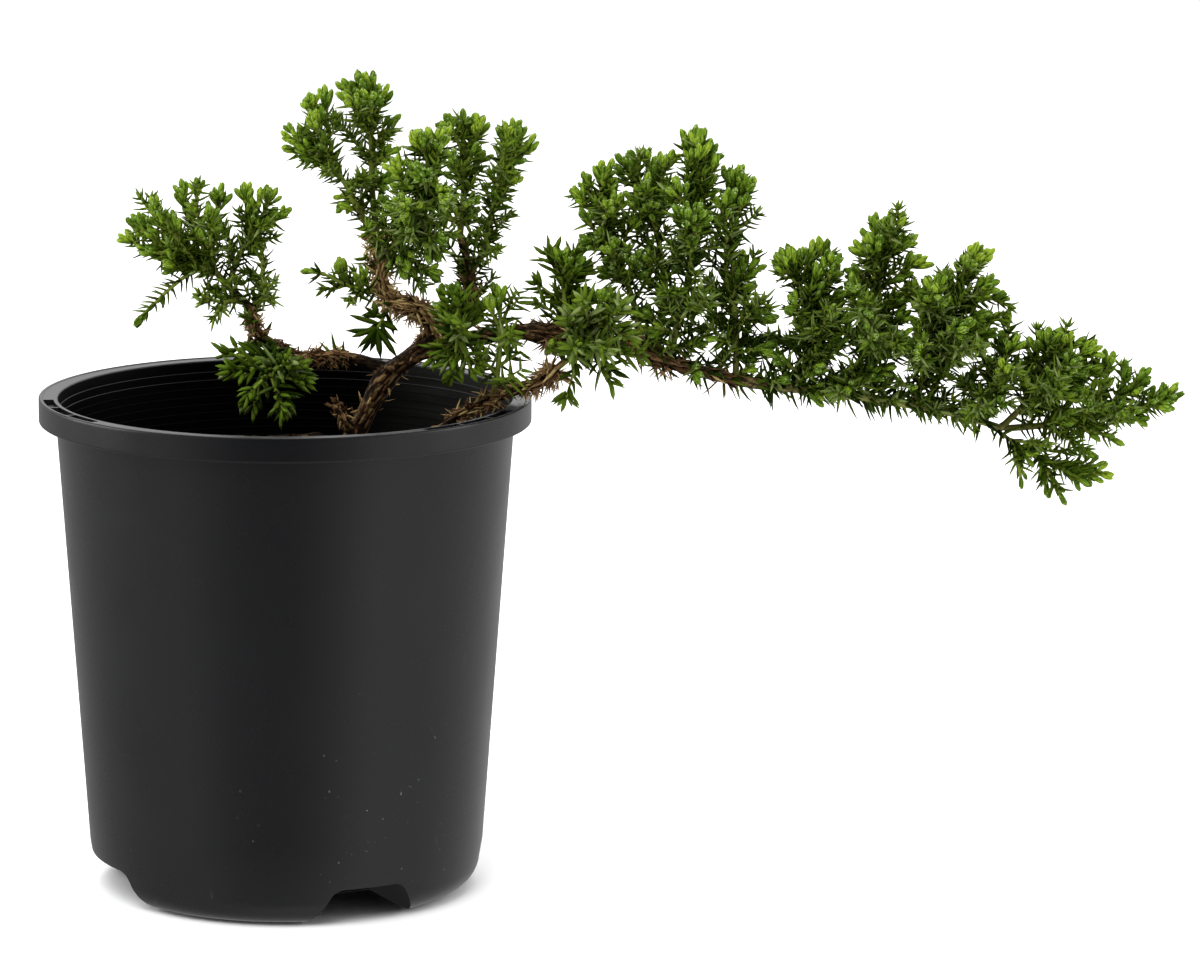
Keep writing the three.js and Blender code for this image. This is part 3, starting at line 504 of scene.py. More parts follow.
# The masses of foliage. A mass has a stem, which starts on its bough, and twigs. A twig says how far along
# the stem it leaves, from 0 to 1, and where its tip is. "fine" are finer twigs between the others, where
# the crown is full. A mass has the habit "fresh" unless it names another. Where it says so, only the
# "budded" ones among its twigs end in young buds, the "slim" ones have no shoots beside them and few buds
# at the end, and the "plain" ones carry needles alone. They are given by their places in "twigs".
masses = {
    "foliage_left_outer": {
        "on": "bough_left", "budded": [1, 2, 3, 4, 5, 6, 7], "slim": [0],
        "stem": [[-21, -1, 205.5], [-24, -1, 209], [-30, -1, 209]],
        "twigs": [[1, -50, -5, 191], [1, -56, 5, 220], [0.9, -52, 10, 226], [0.9, -44, -10, 235],
                  [0.6, -35, 4, 239], [0.6, -29, -8, 241], [0.5, -21, 2, 238], [0.45, -24, -16, 233]],
        "fine": [[0.9, -41, 2, 209], [0.9, -53, 1, 226], [0.7, -40, 0, 229], [0.9, -48, 0, 233]]},
    "foliage_left_inner": {
        "on": "bough_left", "budded": [0, 1, 2, 3],
        "stem": [[-18.5, 2, 204], [-16.5, 3, 212], [-13.5, 3, 217]],
        "twigs": [[1, -14, 4, 238], [1, -8, -2, 237], [1, -3, 6, 236], [1, 2, 1, 230], [0.6, -5, -8, 226],
                  [0.4, -21, 12, 222]]},
    "foliage_left_shoot": {
        "on": "bough_left", "budded": [],
        "stem": [[-10, 1, 194], [-8, 0, 202.5], [-7.5, -2, 209.5]],
        "twigs": [[1, -8, -3, 217], [0.3, -4, -10, 201], [0.6, -12, 8, 207]]},
    "foliage_left_tuft": {
        "on": "bough_left", "budded": [],
        "stem": [[-15.5, -3, 198.5], [-20, -6, 199]],
        "twigs": [[1, -28, -8, 202], [1, -23, -12, 195], [0.6, -26, 2, 203]]},
    "foliage_pot_clump": {
        "on": "bough_left", "habit": "broad", "budded": [],
        "stem": [[-3, -2, 182], [-3.5, -16, 179.5], [-4, -24, 178]],
        "twigs": [[0.3, -20, -6, 182], [0.5, -17, -18, 178], [1, -11, -32, 172], [1, 1, -34, 168],
                  [1, 8, -30, 177], [0.8, 3, -34, 184], [0.4, -13, 8, 182]]},
    "foliage_sprig": {
        "on": "bough_top_left", "habit": "sparse",
        "stem": [[34, 0, 197], [32, -4, 192.5], [30.5, -6, 190]],
        "twigs": [[1, 20, -8, 190], [0.6, 21, -4, 195], [1, 24, -12, 185], [1, 29, -2, 182],
                  [0.8, 38, -10, 181]],
        "fine": [[0.4, 26, -4, 198], [0.5, 38, -6, 190], [1, 32, -7, 180.5], [0.7, 36.5, -3, 184],
                 [1, 25.5, -8, 182], [0.8, 22, -9, 188]]},
    "foliage_left_spray": {
        "on": "bough_top_left", "habit": "slim", "budded": [1], "slim": [0], "plain": [2, 3],
        "stem": [[32, 2, 200.5], [26, 0, 202.5], [19, -3, 205.5], [13.5, -4, 208.5]],
        "twigs": [[1, 6, -5, 210], [0.5, 18, -2, 214], [0.3, 22, -12, 201], [0.7, 12, 2, 202]],
        "fine": [[0.2, 25, 0, 211], [0.35, 23, -3, 208]]},
    "foliage_top": {
        "on": "bough_top_left", "habit": "bright", "budded": [0, 1, 2, 3, 4, 5, 8],
        "stem": [[30, 6, 223], [28.5, 6, 237.5], [28.5, 5, 249], [27.5, 5, 258.5]],
        "twigs": [[0.9, 19, 4, 273], [1, 24, 2, 276], [1, 29, 8, 275], [1, 34, 6, 271], [0.8, 20, -6, 269],
                  [0.7, 38, 6, 261], [0.6, 16, 10, 259], [0.35, 23, -6, 239], [0.9, 30, -8, 270]],
        "fine": [[0.5, 38, 4, 250], [0.3, 36, 2, 240], [0.15, 34, 2, 234]]},
    "foliage_top_left": {
        "on": "bough_top_left", "habit": "bright",
        "stem": [[29, 3, 220], [24.5, 0, 229.5], [20.5, -1, 238], [14, -2, 246.5]],
        "twigs": [[1, 8, -2, 269], [0.9, 13, 3, 271], [1, 9, -10, 264], [0.9, -1, -3, 256],
                  [0.9, -1, 4, 250], [0.5, 17, 6, 230]],
        "fine": [[0.95, 5, 1, 257]]},
    "foliage_centre_front": {
        "on": "bough_top_left", "habit": "bloomed",
        "stem": [[32.5, 0, 213.5], [40, -12, 223], [47.5, -22, 234.5], [49, -24, 246.5]],
        "twigs": [[1, 43, -28, 260], [1, 48, -20, 260], [1, 54, -28, 261], [0.8, 36, -36, 249],
                  [0.8, 47, -44, 248], [0.5, 34, -26, 235], [0.6, 40, -44, 238], [0.3, 32, -12, 227],
                  [0.4, 42, -36, 228], [0.7, 56, -40, 240], [0.4, 55, -34, 225], [0.5, 52, -22, 216]],
        "fine": [[0.9, 40, -30, 250], [0.7, 38, -20, 244], [0.15, 44, -10, 209], [0.2, 52, -14, 208],
                 [0.3, 39, -16, 232], [0.08, 46, -5, 205]]},
    "foliage_centre_top": {
        "on": "bough_centre", "habit": "bright",
        "stem": [[58, 3, 221.5], [59, 5, 232.5], [59.5, 5, 246]],
        "twigs": [[1, 53, 0, 262], [1, 59, 5, 263], [0.9, 63, 11, 261], [1, 66, 4, 261], [0.6, 54, -8, 251],
                  [0.6, 66, 14, 248], [0.3, 51, 10, 232]],
        "fine": [[0.2, 64, 0, 228], [0.15, 53, -4, 228], [0.4, 65, -4, 235]]},
    "foliage_centre_right": {
        "on": "bough_centre", "habit": "bright", "budded": [0, 1, 2, 4], "plain": [5, 6],
        "stem": [[62.5, 6, 207], [66, 7, 216], [68.5, 8, 228.5], [71.5, 8, 242.5]],
        "twigs": [[1, 73, 4, 259], [1, 78, 9, 259], [0.9, 83, 12, 254], [0.8, 73, -6, 252],
                  [0.6, 77, 2, 243], [0.4, 74, 14, 226], [0.2, 71, -8, 218]],
        "fine": [[0.9, 80, 6, 257]]},
    "foliage_centre_low": {
        "on": "trunk", "habit": "airy", "budded": [0],
        "stem": [[52.5, -1, 188], [56, -10, 188.5], [58, -16, 189.5]],
        "twigs": [[0.6, 53, -14, 202], [1, 59, -20, 204], [1, 65, -14, 199], [0.8, 53, -18, 184],
                  [1, 56, -22, 178], [1, 63, -24, 179], [1, 65, -12, 184], [1, 60, -32, 196]],
        "fine": [[0.9, 52, -16, 207], [0.9, 58, -22, 209]]},
    "foliage_upright": {
        "on": "bough_low", "habit": "comb", "budded": [0, 2],
        "stem": [[69.5, -12, 168.5], [71, -13, 176.5], [72, -13, 187.5], [72, -13, 195.5]],
        "twigs": [[1, 71, -14, 207], [0.9, 77, -9, 204], [0.9, 67, -18, 203], [0.4, 63, -18, 185],
                  [0.4, 79, -10, 184], [0.2, 77, -20, 177], [0.7, 76, -24, 193]]},
    "foliage_mid_left": {
        "on": "bough_long", "habit": "open", "budded": [1], "plain": [2, 3],
        "stem": [[93, 0, 189], [93.5, 0, 196.5], [92.5, -1, 206]],
        "twigs": [[1, 87, 2, 215], [1, 94, -2, 218], [0.6, 84, 3, 205], [0.3, 84, -4, 200],
                  [0.7, 98, 8, 208], [0.3, 98, 10, 197]],
        "fine": [[0.9, 102, 0, 213], [0.5, 107, -3, 202], [0.95, 100, -4, 215], [0.1, 87, -4, 182]]},
    "foliage_mid_front": {
        "on": "bough_low", "habit": "open", "budded": [0], "plain": [6],
        "stem": [[92.5, -9, 179.5], [98.5, -14, 185.5], [104, -20, 194.5]],
        "twigs": [[0.9, 106, -28, 208], [0.7, 100, -34, 205], [0.5, 95, -30, 199], [1, 112, -30, 202],
                  [1, 114, -30, 193], [0.7, 107, -38, 189], [0.5, 94, -14, 169], [0.4, 119, -16, 185],
                  [0.6, 109, -18, 175], [0.3, 97, -34, 190]],
        "fine": [[0.9, 112, -20, 203]]},
    "foliage_middle_left": {
        "on": "bough_long",
        "stem": [[120.5, 2, 184.5], [116, 4, 199.5], [109.5, 5, 216], [103.5, 4, 228]],
        "twigs": [[1, 95, 2, 237], [1, 99, 8, 242], [0.7, 98, -6, 221], [0.6, 107, -14, 220],
                  [0.4, 116, -14, 217], [0.9, 109, -10, 235], [0.5, 104, 12, 209], [1, 105, 14, 245]],
        "fine": [[0.75, 108, 8, 240], [0.8, 112, 0, 236], [0.65, 116, 8, 228], [0.7, 98, -2, 230],
                 [1, 109, 10, 246]]},
    "foliage_middle_top": {
        "on": "bough_long",
        "stem": [[124, 4, 181], [126.5, 9, 199], [125, 12, 215.5], [121, 10, 230.5]],
        "twigs": [[1, 110, 8, 248], [1, 115, 2, 250], [1, 121, 10, 250], [1, 125, 16, 248],
                  [0.9, 129, 4, 250], [0.8, 119, -8, 241], [0.5, 135, 20, 221], [0.4, 118, 20, 210]],
        "fine": [[0.8, 113, 4, 236], [0.6, 114, 12, 226], [0.5, 117, 2, 216], [0.08, 118, 2, 191],
                 [0.15, 120, -3, 197], [0.9, 128, 6, 238]]},
    "foliage_middle_right": {
        "on": "bough_outer", "habit": "bloomed",
        "stem": [[128, -3, 180.5], [132.5, -6, 198.5], [135, -8, 216.5], [135.5, -5, 234.5]],
        "twigs": [[1, 135, 2, 257], [1, 138, -3, 258], [1, 142, 4, 253], [1, 144, -2, 249],
                  [0.8, 129, -12, 243], [0.7, 132, -24, 235], [0.6, 138, -22, 236], [0.3, 140, -22, 204],
                  [0.3, 126, -18, 206]],
        "fine": [[0.15, 140, 4, 190], [0.7, 141, 2, 230], [0.2, 121, -6, 192], [0.08, 141, -3, 186]]},
    "foliage_right_middle": {
        "on": "bough_outer", "habit": "bloomed",
        "stem": [[151, 0, 174.5], [150.5, 0, 193.5], [147, 0, 210.5], [150, 0, 230.5]],
        "twigs": [[1, 148, 5, 244], [1, 151, -2, 246], [1, 155, -4, 242], [0.9, 146, -14, 238],
                  [0.5, 153, 8, 216], [0.5, 158, -2, 215], [0.3, 159, -12, 202], [0.4, 142, 12, 204],
                  [0.2, 141, -12, 189], [0.2, 160, 10, 184]],
        "fine": [[0.1, 160, 4, 182], [0.15, 163, -4, 184], [0.25, 143, 6, 194], [0.04, 158, -2, 177],
                 [0.3, 164, 2, 193], [0.45, 157, 4, 206]]},
    "foliage_right_1": {
        "on": "bough_outer", "habit": "bloomed",
        "stem": [[170.5, 0, 171], [174.5, -1, 182], [175, -2, 194], [172, -2, 204]],
        "twigs": [[1, 163, -4, 216], [1, 169, 2, 218], [0.8, 176, 6, 220], [0.8, 181, 0, 221],
                  [0.7, 185, -6, 217], [0.7, 167, -14, 200], [0.3, 164, 12, 186], [0.4, 183, -18, 202],
                  [0.3, 185, 14, 183]],
        "fine": [[0.5, 187, 4, 200], [0.3, 188, -4, 188], [0.15, 163, -6, 182], [0.2, 180, -10, 180],
                 [0.03, 180, -3, 165], [0.6, 182, 4, 208], [0.3, 187, 2, 195], [0.75, 186, 1, 205],
                 [0.4, 190, 0, 197]]},
    "foliage_right_2": {
        "on": "bough_outer", "habit": "bloomed",
        "stem": [[189, 0, 168.5], [193.5, 2, 185], [197, 3, 200.5], [200.5, 3, 215.5]],
        "twigs": [[0.8, 190, 5, 220], [0.9, 194, -4, 224], [1, 197, 8, 229], [1, 202, 2, 231],
                  [1, 206, -3, 231], [1, 211, 5, 222], [0.8, 214, 2, 215], [0.6, 188, -18, 209],
                  [0.5, 193, -24, 200], [0.3, 196, -28, 193], [0.3, 204, -28, 190], [0.1, 185, -18, 172],
                  [0.3, 200, 22, 182]],
        "fine": [[0.6, 188, 6, 206], [0.35, 186, -4, 190], [0.45, 207, 2, 202], [0.2, 203, 4, 183],
                 [0.1, 200, -6, 175], [0.05, 186, 8, 174], [0.3, 208, -8, 191], [0.35, 209, 2, 197],
                 [0.08, 204, -4, 179], [0.75, 189, -2, 213], [0.55, 210, 3, 204]]},
    "foliage_right_3": {
        "on": "bough_outer", "habit": "bloomed",
        "stem": [[211, 0, 165], [215.5, 0, 179], [220.5, 1, 194], [226, 1, 207.5]],
        "twigs": [[0.5, 211, -20, 207], [0.6, 215, -26, 210], [0.7, 214, 6, 208], [0.9, 220, 2, 211],
                  [1, 227, -3, 217], [1, 231, 3, 220], [1, 235, 8, 217], [0.9, 238, -3, 208],
                  [0.8, 242, 3, 201], [0.5, 226, -24, 195], [0.4, 231, -26, 189], [0.3, 209, -28, 188],
                  [0.3, 224, 24, 180]],
        "fine": [[0.5, 230, 6, 200], [0.3, 208, 4, 188], [0.1, 206, -6, 174], [0.15, 222, 4, 176],
                 [0.4, 228, -6, 190], [0.6, 235, -4, 197], [0.35, 209, -4, 196], [0.35, 235, 3, 188],
                 [0.5, 240, 0, 195], [0.4, 238, 2, 191], [0.45, 234, -2, 193], [0.6, 208, 1, 205]]},
    "foliage_right_4": {
        "on": "bough_outer", "habit": "bloomed", "slim": [0],
        "stem": [[230, 0, 161], [236, -1, 170], [240.5, -2, 181]],
        "twigs": [[1, 242, 3, 197], [1, 245, -4, 190], [1, 240, 10, 189], [0.6, 241, -20, 182],
                  [0.6, 235, 14, 178], [0.2, 231, -18, 167], [0.3, 239, -20, 171], [0.4, 226, 16, 170]],
        "fine": [[0.2, 228, 2, 176], [0.5, 248, 2, 180]]},
    "foliage_right_5": {
        "on": "bough_outer", "habit": "bloomed",
        "stem": [[240, 3, 158.5], [249.5, 2, 167.5], [255.5, 1, 180]],
        "twigs": [[0.8, 249, 4, 188], [1, 255, -1, 192], [1, 260, 7, 191], [1, 263, -3, 191],
                  [0.9, 268, 4, 188], [0.8, 273, -2, 186], [0.6, 263, -18, 184], [0.4, 257, -22, 175],
                  [0.5, 254, 20, 176], [0.6, 270, 12, 173]],
        "fine": [[0.3, 262, 4, 172], [0.4, 248, -6, 176], [0.6, 270, 4, 179], [0.5, 276, 2, 178],
                 [0.3, 269, 0, 171], [0.7, 274, 0, 179]]},
    "foliage_tip": {
        "on": "bough_outer", "habit": "bright", "slim": [6, 7], "plain": [10],
        "stem": [[242.5, 0, 158], [256.5, 0, 159], [275, 0, 162], [289.5, 0, 165.5]],
        "twigs": [[1, 301, 0, 170], [1, 296, 5, 171], [1, 297, -6, 168], [0.8, 290, 3, 178],
                  [0.7, 282, 5, 180], [0.6, 277, 0, 184], [0.5, 281, -4, 153], [0.35, 273, 3, 147],
                  [0.5, 268, -16, 170], [0.7, 281, -14, 166], [0.3, 264, 14, 153]],
        "fine": [[0.3, 264, 2, 168], [0.5, 274, 0, 172], [0.35, 264, -4, 165], [0.8, 289, 0, 161.5],
                 [0.45, 273, -2, 154]]},
    "foliage_tip_low": {
        "on": "bough_outer", "habit": "slim", "budded": [0], "slim": [1, 2, 3, 4, 5], "plain": [6, 7],
        "stem": [[236, -1, 159], [245, -1, 152.5], [254, -1, 148], [262, -1, 144]],
        "twigs": [[1, 278, 0, 142], [1, 273, 5, 144], [0.9, 270, -5, 139], [0.7, 262, -2, 132],
                  [0.6, 257, 6, 133], [0.3, 247, -5, 138], [0.5, 267, 8, 149], [0.3, 255, -10, 154]],
        "fine": [[0.7, 273, 2, 140], [0.3, 251, -2, 145]]},
}

# Growth: at how many places along its bough a stem may start, how much lower each next twig leaves the
# stem, how far a twig follows the stem before it turns to its tip, and where the chances start.
growth = {"samples": 120, "stagger": 0.07, "lean": 0.2, "turn": 0.4, "seed": 20261}


# A uniform Catmull-Rom curve through points, read at places from 0 to 1.
def onSpline(points, at):
    points = np.asarray(points, float)
    last = len(points) - 1
    longer = np.vstack([2 * points[0] - points[1], points, 2 * points[-1] - points[-2]])
    place = np.clip(np.asarray(at, float), 0, 1) * last
    part = np.minimum(place.astype(int), last - 1)
    t = (place - part)[:, None]
    a, b, c, d = (longer[part + i] for i in range(4))
    return b + 0.5 * t * (c - a + t * (2 * a - 5 * b + 4 * c - d + t * (3 * (b - c) + d - a)))


def unit(vectors):
    size = np.linalg.norm(vectors, axis=-1, keepdims=True)
    return vectors / np.maximum(size, 1e-9)


def limbPath(limb, steps):
    at = np.linspace(0, 1, steps + 1)
    radii = limb["from"] + (limb["to"] - limb["from"]) * at
    for where, extra, width in limb.get("knobs", []):
        radii = radii + extra * np.exp(-(((at - where) / width) ** 2))
    return onSpline(limb["line"], at), radii


# Where the limbs lie, so that nothing that grows runs into them.
limbPlaces = [limbPath(limb, 60) for limb in [*limbs.values(), stub, knot]]
woodPoints = np.vstack([path for path, radii in limbPlaces])
woodRadii = np.concatenate([radii for path, radii in limbPlaces])


def stemOf(mass):
    points = np.array(mass["stem"], float)
    host = onSpline(limbs[mass["on"]]["line"], np.linspace(0, 1, growth["samples"] + 1))
    points[0] = host[np.argmin(np.linalg.norm(host - points[0], axis=1))]
    return points


# A twig leaves its stem along the stem's own direction and turns to its tip.
def twigOf(stem, row, order):
    leave = row[0] * (1 - growth["stagger"] * (order % 4))
    before, root, after = onSpline(stem, [leave - 1e-4, leave, leave + 1e-4])
    tip = np.array(row[1:], float)
    reach = np.linalg.norm(tip - root)
    bend = root + unit(after - before) * reach * growth["lean"]
    bend = bend + (root + (tip - root) * 0.5 - bend) * growth["turn"]
    return curvedPath(root, bend, tip)


def curvedPath(root, bend, tip, steps=16):
    t = np.linspace(0, 1, steps + 1)[:, None]
    return (1 - t) ** 2 * root + 2 * t * (1 - t) * bend + t ** 2 * tip


# How far along the path each of its points lies.
def runAlong(path):
    return np.concatenate([[0], np.cumsum(np.linalg.norm(np.diff(path, axis=0), axis=1))])


# The same path with its points a set distance apart, and its length.
def evenly(path, distance):
    run = runAlong(path)
    count = max(int(round(run[-1] / distance)), 2)
    at = np.linspace(0, run[-1], count + 1)
    return np.stack([np.interp(at, run, path[:, i]) for i in range(3)], axis=1), run[-1]


def directions(path):
    return unit(np.gradient(path, axis=0))


# A mass's habit: its needles' length, width and spread from root to tip, the share of needles kept, how
# light they are, and the share with a pale bloom. Then the share of its shoots' ends that carry young buds,
# how large those are, how long the shoots beside its stem are, and how wide apart all side shoots are. Last
# how thick its stem is, the place of the stem's colour, and how far needles may turn to the front or back.
habitKeys = ("needle", "width", "rootSpread", "tipSpread", "keep", "light", "bloom", "buds", "budSize",
             "fill", "sides", "stem", "stemTone", "front")
habitRows = {
    "fresh": (5.9, 1.14, 72, 46, 0.92, 0.26, 0.25, 1.0, 0.94, 0.6, 1.25, 1.0, 0, 1.0),
    "bright": (5.9, 1.16, 72, 46, 0.92, 0.5, 0.34, 1.0, 0.96, 0.6, 1.25, 1.0, 0, 1.0),
    "bloomed": (6.9, 1.16, 70, 44, 0.93, 0.06, 0.4, 0.98, 1.0, 1.0, 1.05, 1.0, 0, 1.0),
    "open": (8.6, 1.85, 64, 40, 0.66, 0.26, 0.38, 1.0, 1.0, 0.5, 2.4, 0.9, 1, 1.0),
    "comb": (8.0, 1.4, 74, 58, 0.8, 0.34, 0.15, 1.0, 1.0, 0.25, 20.0, 0.95, 1, 0.6),
    "broad": (8.4, 2.1, 58, 32, 0.62, 0.12, 0.4, 0.9, 0.9, 0.4, 4.5, 0.9, 1, 1.0),
    "airy": (8.2, 2.0, 60, 34, 0.5, 0.3, 0.25, 0.9, 0.9, 0.4, 6.0, 0.9, 1, 1.0),
    "slim": (5.8, 1.3, 60, 38, 0.86, 0.32, 0.2, 1.0, 0.85, 0.3, 5.0, 0.6, 0, 1.0),
    "sparse": (8.0, 2.4, 60, 30, 0.2, 0.0, 0.05, 0.0, 1.0, 0.3, 30.0, 0.55, 0, 1.0),
}
habits = {name: dict(zip(habitKeys, row)) for name, row in habitRows.items()}
golden = 2.39996  # the turn in radians from one side shoot or bud to the next


# Blades of a few faces: needles, young scales, dead needles and flakes of bark alike.
# A blade stands out from its foot by the spread between the axis and the way out, and curls up. It has an
# upper side, an under side and a tip, each with the place of its colour.
bladeKeys = ("foot", "axis", "out", "length", "width", "spread", "curl", "upper", "under", "tip")


def newBlades():
    return {key: [] for key in bladeKeys}


def addBlades(store, foot, axis, out, length, width, spread, curl, upper, under, tip=None):
    tip = under if tip is None else tip
    for key, value in zip(bladeKeys, (foot, axis, out, length, width, spread, curl, upper, under, tip)):
        shape = (len(foot), 3) if key in ("foot", "axis", "out") else (len(foot),)
        store[key].append(np.broadcast_to(np.asarray(value, float), shape))


def gathered(store):
    return {key: np.concatenate(parts) for key, parts in store.items()}


def chosenOnes(blades, chosen):
    return {key: value[chosen] for key, value in blades.items()}


def aheadOf(blades):
    cosine = np.cos(blades["spread"])[:, None]
    sine = np.sin(blades["spread"])[:, None]
    return unit(blades["axis"]) * cosine + unit(blades["out"]) * sine


def insidePot(places, margin=0.3):
    reach = np.hypot(places[:, 0], places[:, 1])
    height = places[:, 2]
    byWall = (height < pot["height"] + 0.5) & (reach > wallRadius(soil["level"]) - pot["wall"] - margin)
    inReach = reach < pot["rimRadius"] + margin
    return inReach & (byWall | (height < soil["level"] + 0.5))


# How far places are from each point of the limbs' surface, some thousands of them at a time.
def gapsToWood(places, atOnce=3000):
    for start in range(0, len(places), atOnce):
        part = places[start:start + atOnce, None]
        yield np.linalg.norm(part - woodPoints[None], axis=2) - woodRadii[None]


def nearWood(places, margin=0.15):
    return np.concatenate([gaps.min(axis=1) for gaps in gapsToWood(places)]) < margin


# A mesh from its points, the corners of its faces, how many corners each face has, and the faces' colours.
def meshFromFaces(name, points, corners, sizes, colours):
    mesh = bpy.data.meshes.new(name)
    mesh.vertices.add(len(points))
    mesh.vertices.foreach_set("co", (points * mm).astype(np.float32).ravel())
    mesh.loops.add(len(corners))
    mesh.loops.foreach_set("vertex_index", np.asarray(corners, np.int32))
    mesh.polygons.add(len(sizes))
    starts = np.concatenate([[0], np.cumsum(sizes)[:-1]])
    mesh.polygons.foreach_set("loop_start", starts.astype(np.int32))
    mesh.polygons.foreach_set("material_index", np.asarray(colours, np.int32))
    mesh.polygons.foreach_set("use_smooth", np.ones(len(sizes), bool))
    mesh.update(calc_edges=True)
    mesh.validate()
    return mesh


# Three rings of a blade: how far along it each is, how wide there, for a blade wider than "broadFrom" too,
# and how deep the upper side's channel is.
bladeRings = {
    "needle": {"at": [0, 0.3, 0.68], "share": [0.95, 1.0, 0.6], "broad": [0.45, 0.95, 0.8], "channel": 0.1},
    "bud": {"at": [0, 0.48, 0.84], "share": [0.6, 1.0, 0.78], "broad": [0.6, 1.0, 0.78], "channel": -0.12},
}
broadFrom = 1.7
# A blade's faces by its ten points: two quads for each of its three sides, three at the point and one at
# the foot, and then which side each face is on: upper, under or tip.
bladeQuads = [[r + i, r + (i + 1) % 3, r + (i + 1) % 3 + 3, r + i + 3] for i in range(3) for r in (0, 3)]
bladeTris = [[6, 7, 9], [7, 8, 9], [8, 6, 9], [0, 2, 1]]
bladeSides = [0, 0, 1, 1, 1, 1, 0, 2, 2, 1]


# The mesh of many blades at once: three rings of an upper side and a keel, then a point.
def bladeMesh(name, blades, shape="needle", keel=0.5):
    side = unit(np.cross(unit(blades["axis"]), unit(blades["out"])))
    ahead = aheadOf(blades)
    above = np.cross(ahead, side)
    length = blades["length"][:, None]
    curl = blades["curl"][:, None]
    rows = []
    rings = bladeRings[shape]
    for at, narrow, broad in zip(rings["at"], rings["share"], rings["broad"]):
        share = np.where(blades["width"] > broadFrom, broad, narrow)
        middle = blades["foot"] + length * (at * ahead + curl * at ** 2 * above)
        normal = unit(above - 2 * curl * at * ahead)
        half = (blades["width"] * 0.5 * share)[:, None]
        lift = normal * half * rings["channel"] * 2
        rows += [middle + side * half + lift, middle - side * half + lift]
        rows.append(middle - normal * half * keel * 2)
    rows.append(blades["foot"] + length * (ahead + curl * above))
    points = np.stack(rows, axis=1)
    count, perBlade = points.shape[:2]
    corners = np.array([corner for face in bladeQuads + bladeTris for corner in face])
    corners = corners[None] + np.arange(count)[:, None] * perBlade
    sizes = np.tile([len(face) for face in bladeQuads + bladeTris], count)
    colours = np.stack([blades["upper"], blades["under"], blades["tip"]], axis=1)[:, bladeSides]
    return meshFromFaces(name, points.reshape(-1, 3), corners.ravel(), sizes, colours.ravel())


# What has grown so far: twigs, needles and buds of one group of masses.
def newGroup():
    return {"twigs": [], "needles": newBlades(), "buds": newBlades()}


# A chance direction square to another one.
def across(direction, random):
    spare = random.normal(size=3)
    return unit(spare - direction * spare.dot(direction))


# Places round each point of a path, and for each its direction along the path and its way out.
def placesRound(path, ahead, ref, phase, step, perPlace):
    first = unit(ref - ahead * (ahead @ ref)[:, None])
    second = np.cross(ahead, first)
    turns = phase + np.arange(len(path))[:, None] * step
    turns = turns + np.arange(perPlace)[None] * 2 * math.pi / perPlace
    out = first[:, None] * np.cos(turns)[..., None] + second[:, None] * np.sin(turns)[..., None]
    return np.repeat(path, perPlace, axis=0), np.repeat(ahead, perPlace, axis=0), out.reshape(-1, 3)


# Needles, with the chances that make them uneven: the lowest and the highest share of their length and
# width, or how far their spread, sway, roll, shade and curl stray, and how much further the loose ones do.
needles = {
    "whorl": 1.9, "perWhorl": 3, "lengths": [0.82, 1.15], "widths": [0.85, 1.1], "taper": 0.25, "sunk": 0.3,
    "spread": 0.13, "sway": [0.12, 0.3], "roll": [0.28, 0.4], "curl": [0.07, 0.12], "curled": 0.07,
    "rootShade": 0.2, "tipShade": 0.9, "shade": 0.22, "shades": 3.2, "pale": 0.4,
}
looseNeedles = {"bunches": 22, "thinnest": 1.6, "fullest": 1.3, "wider": 0.5, "shorter": 0.5, "longer": 0.3}
greenCount = 4  # greens of an under side. The upper sides' greens follow, and then the two with a bloom.


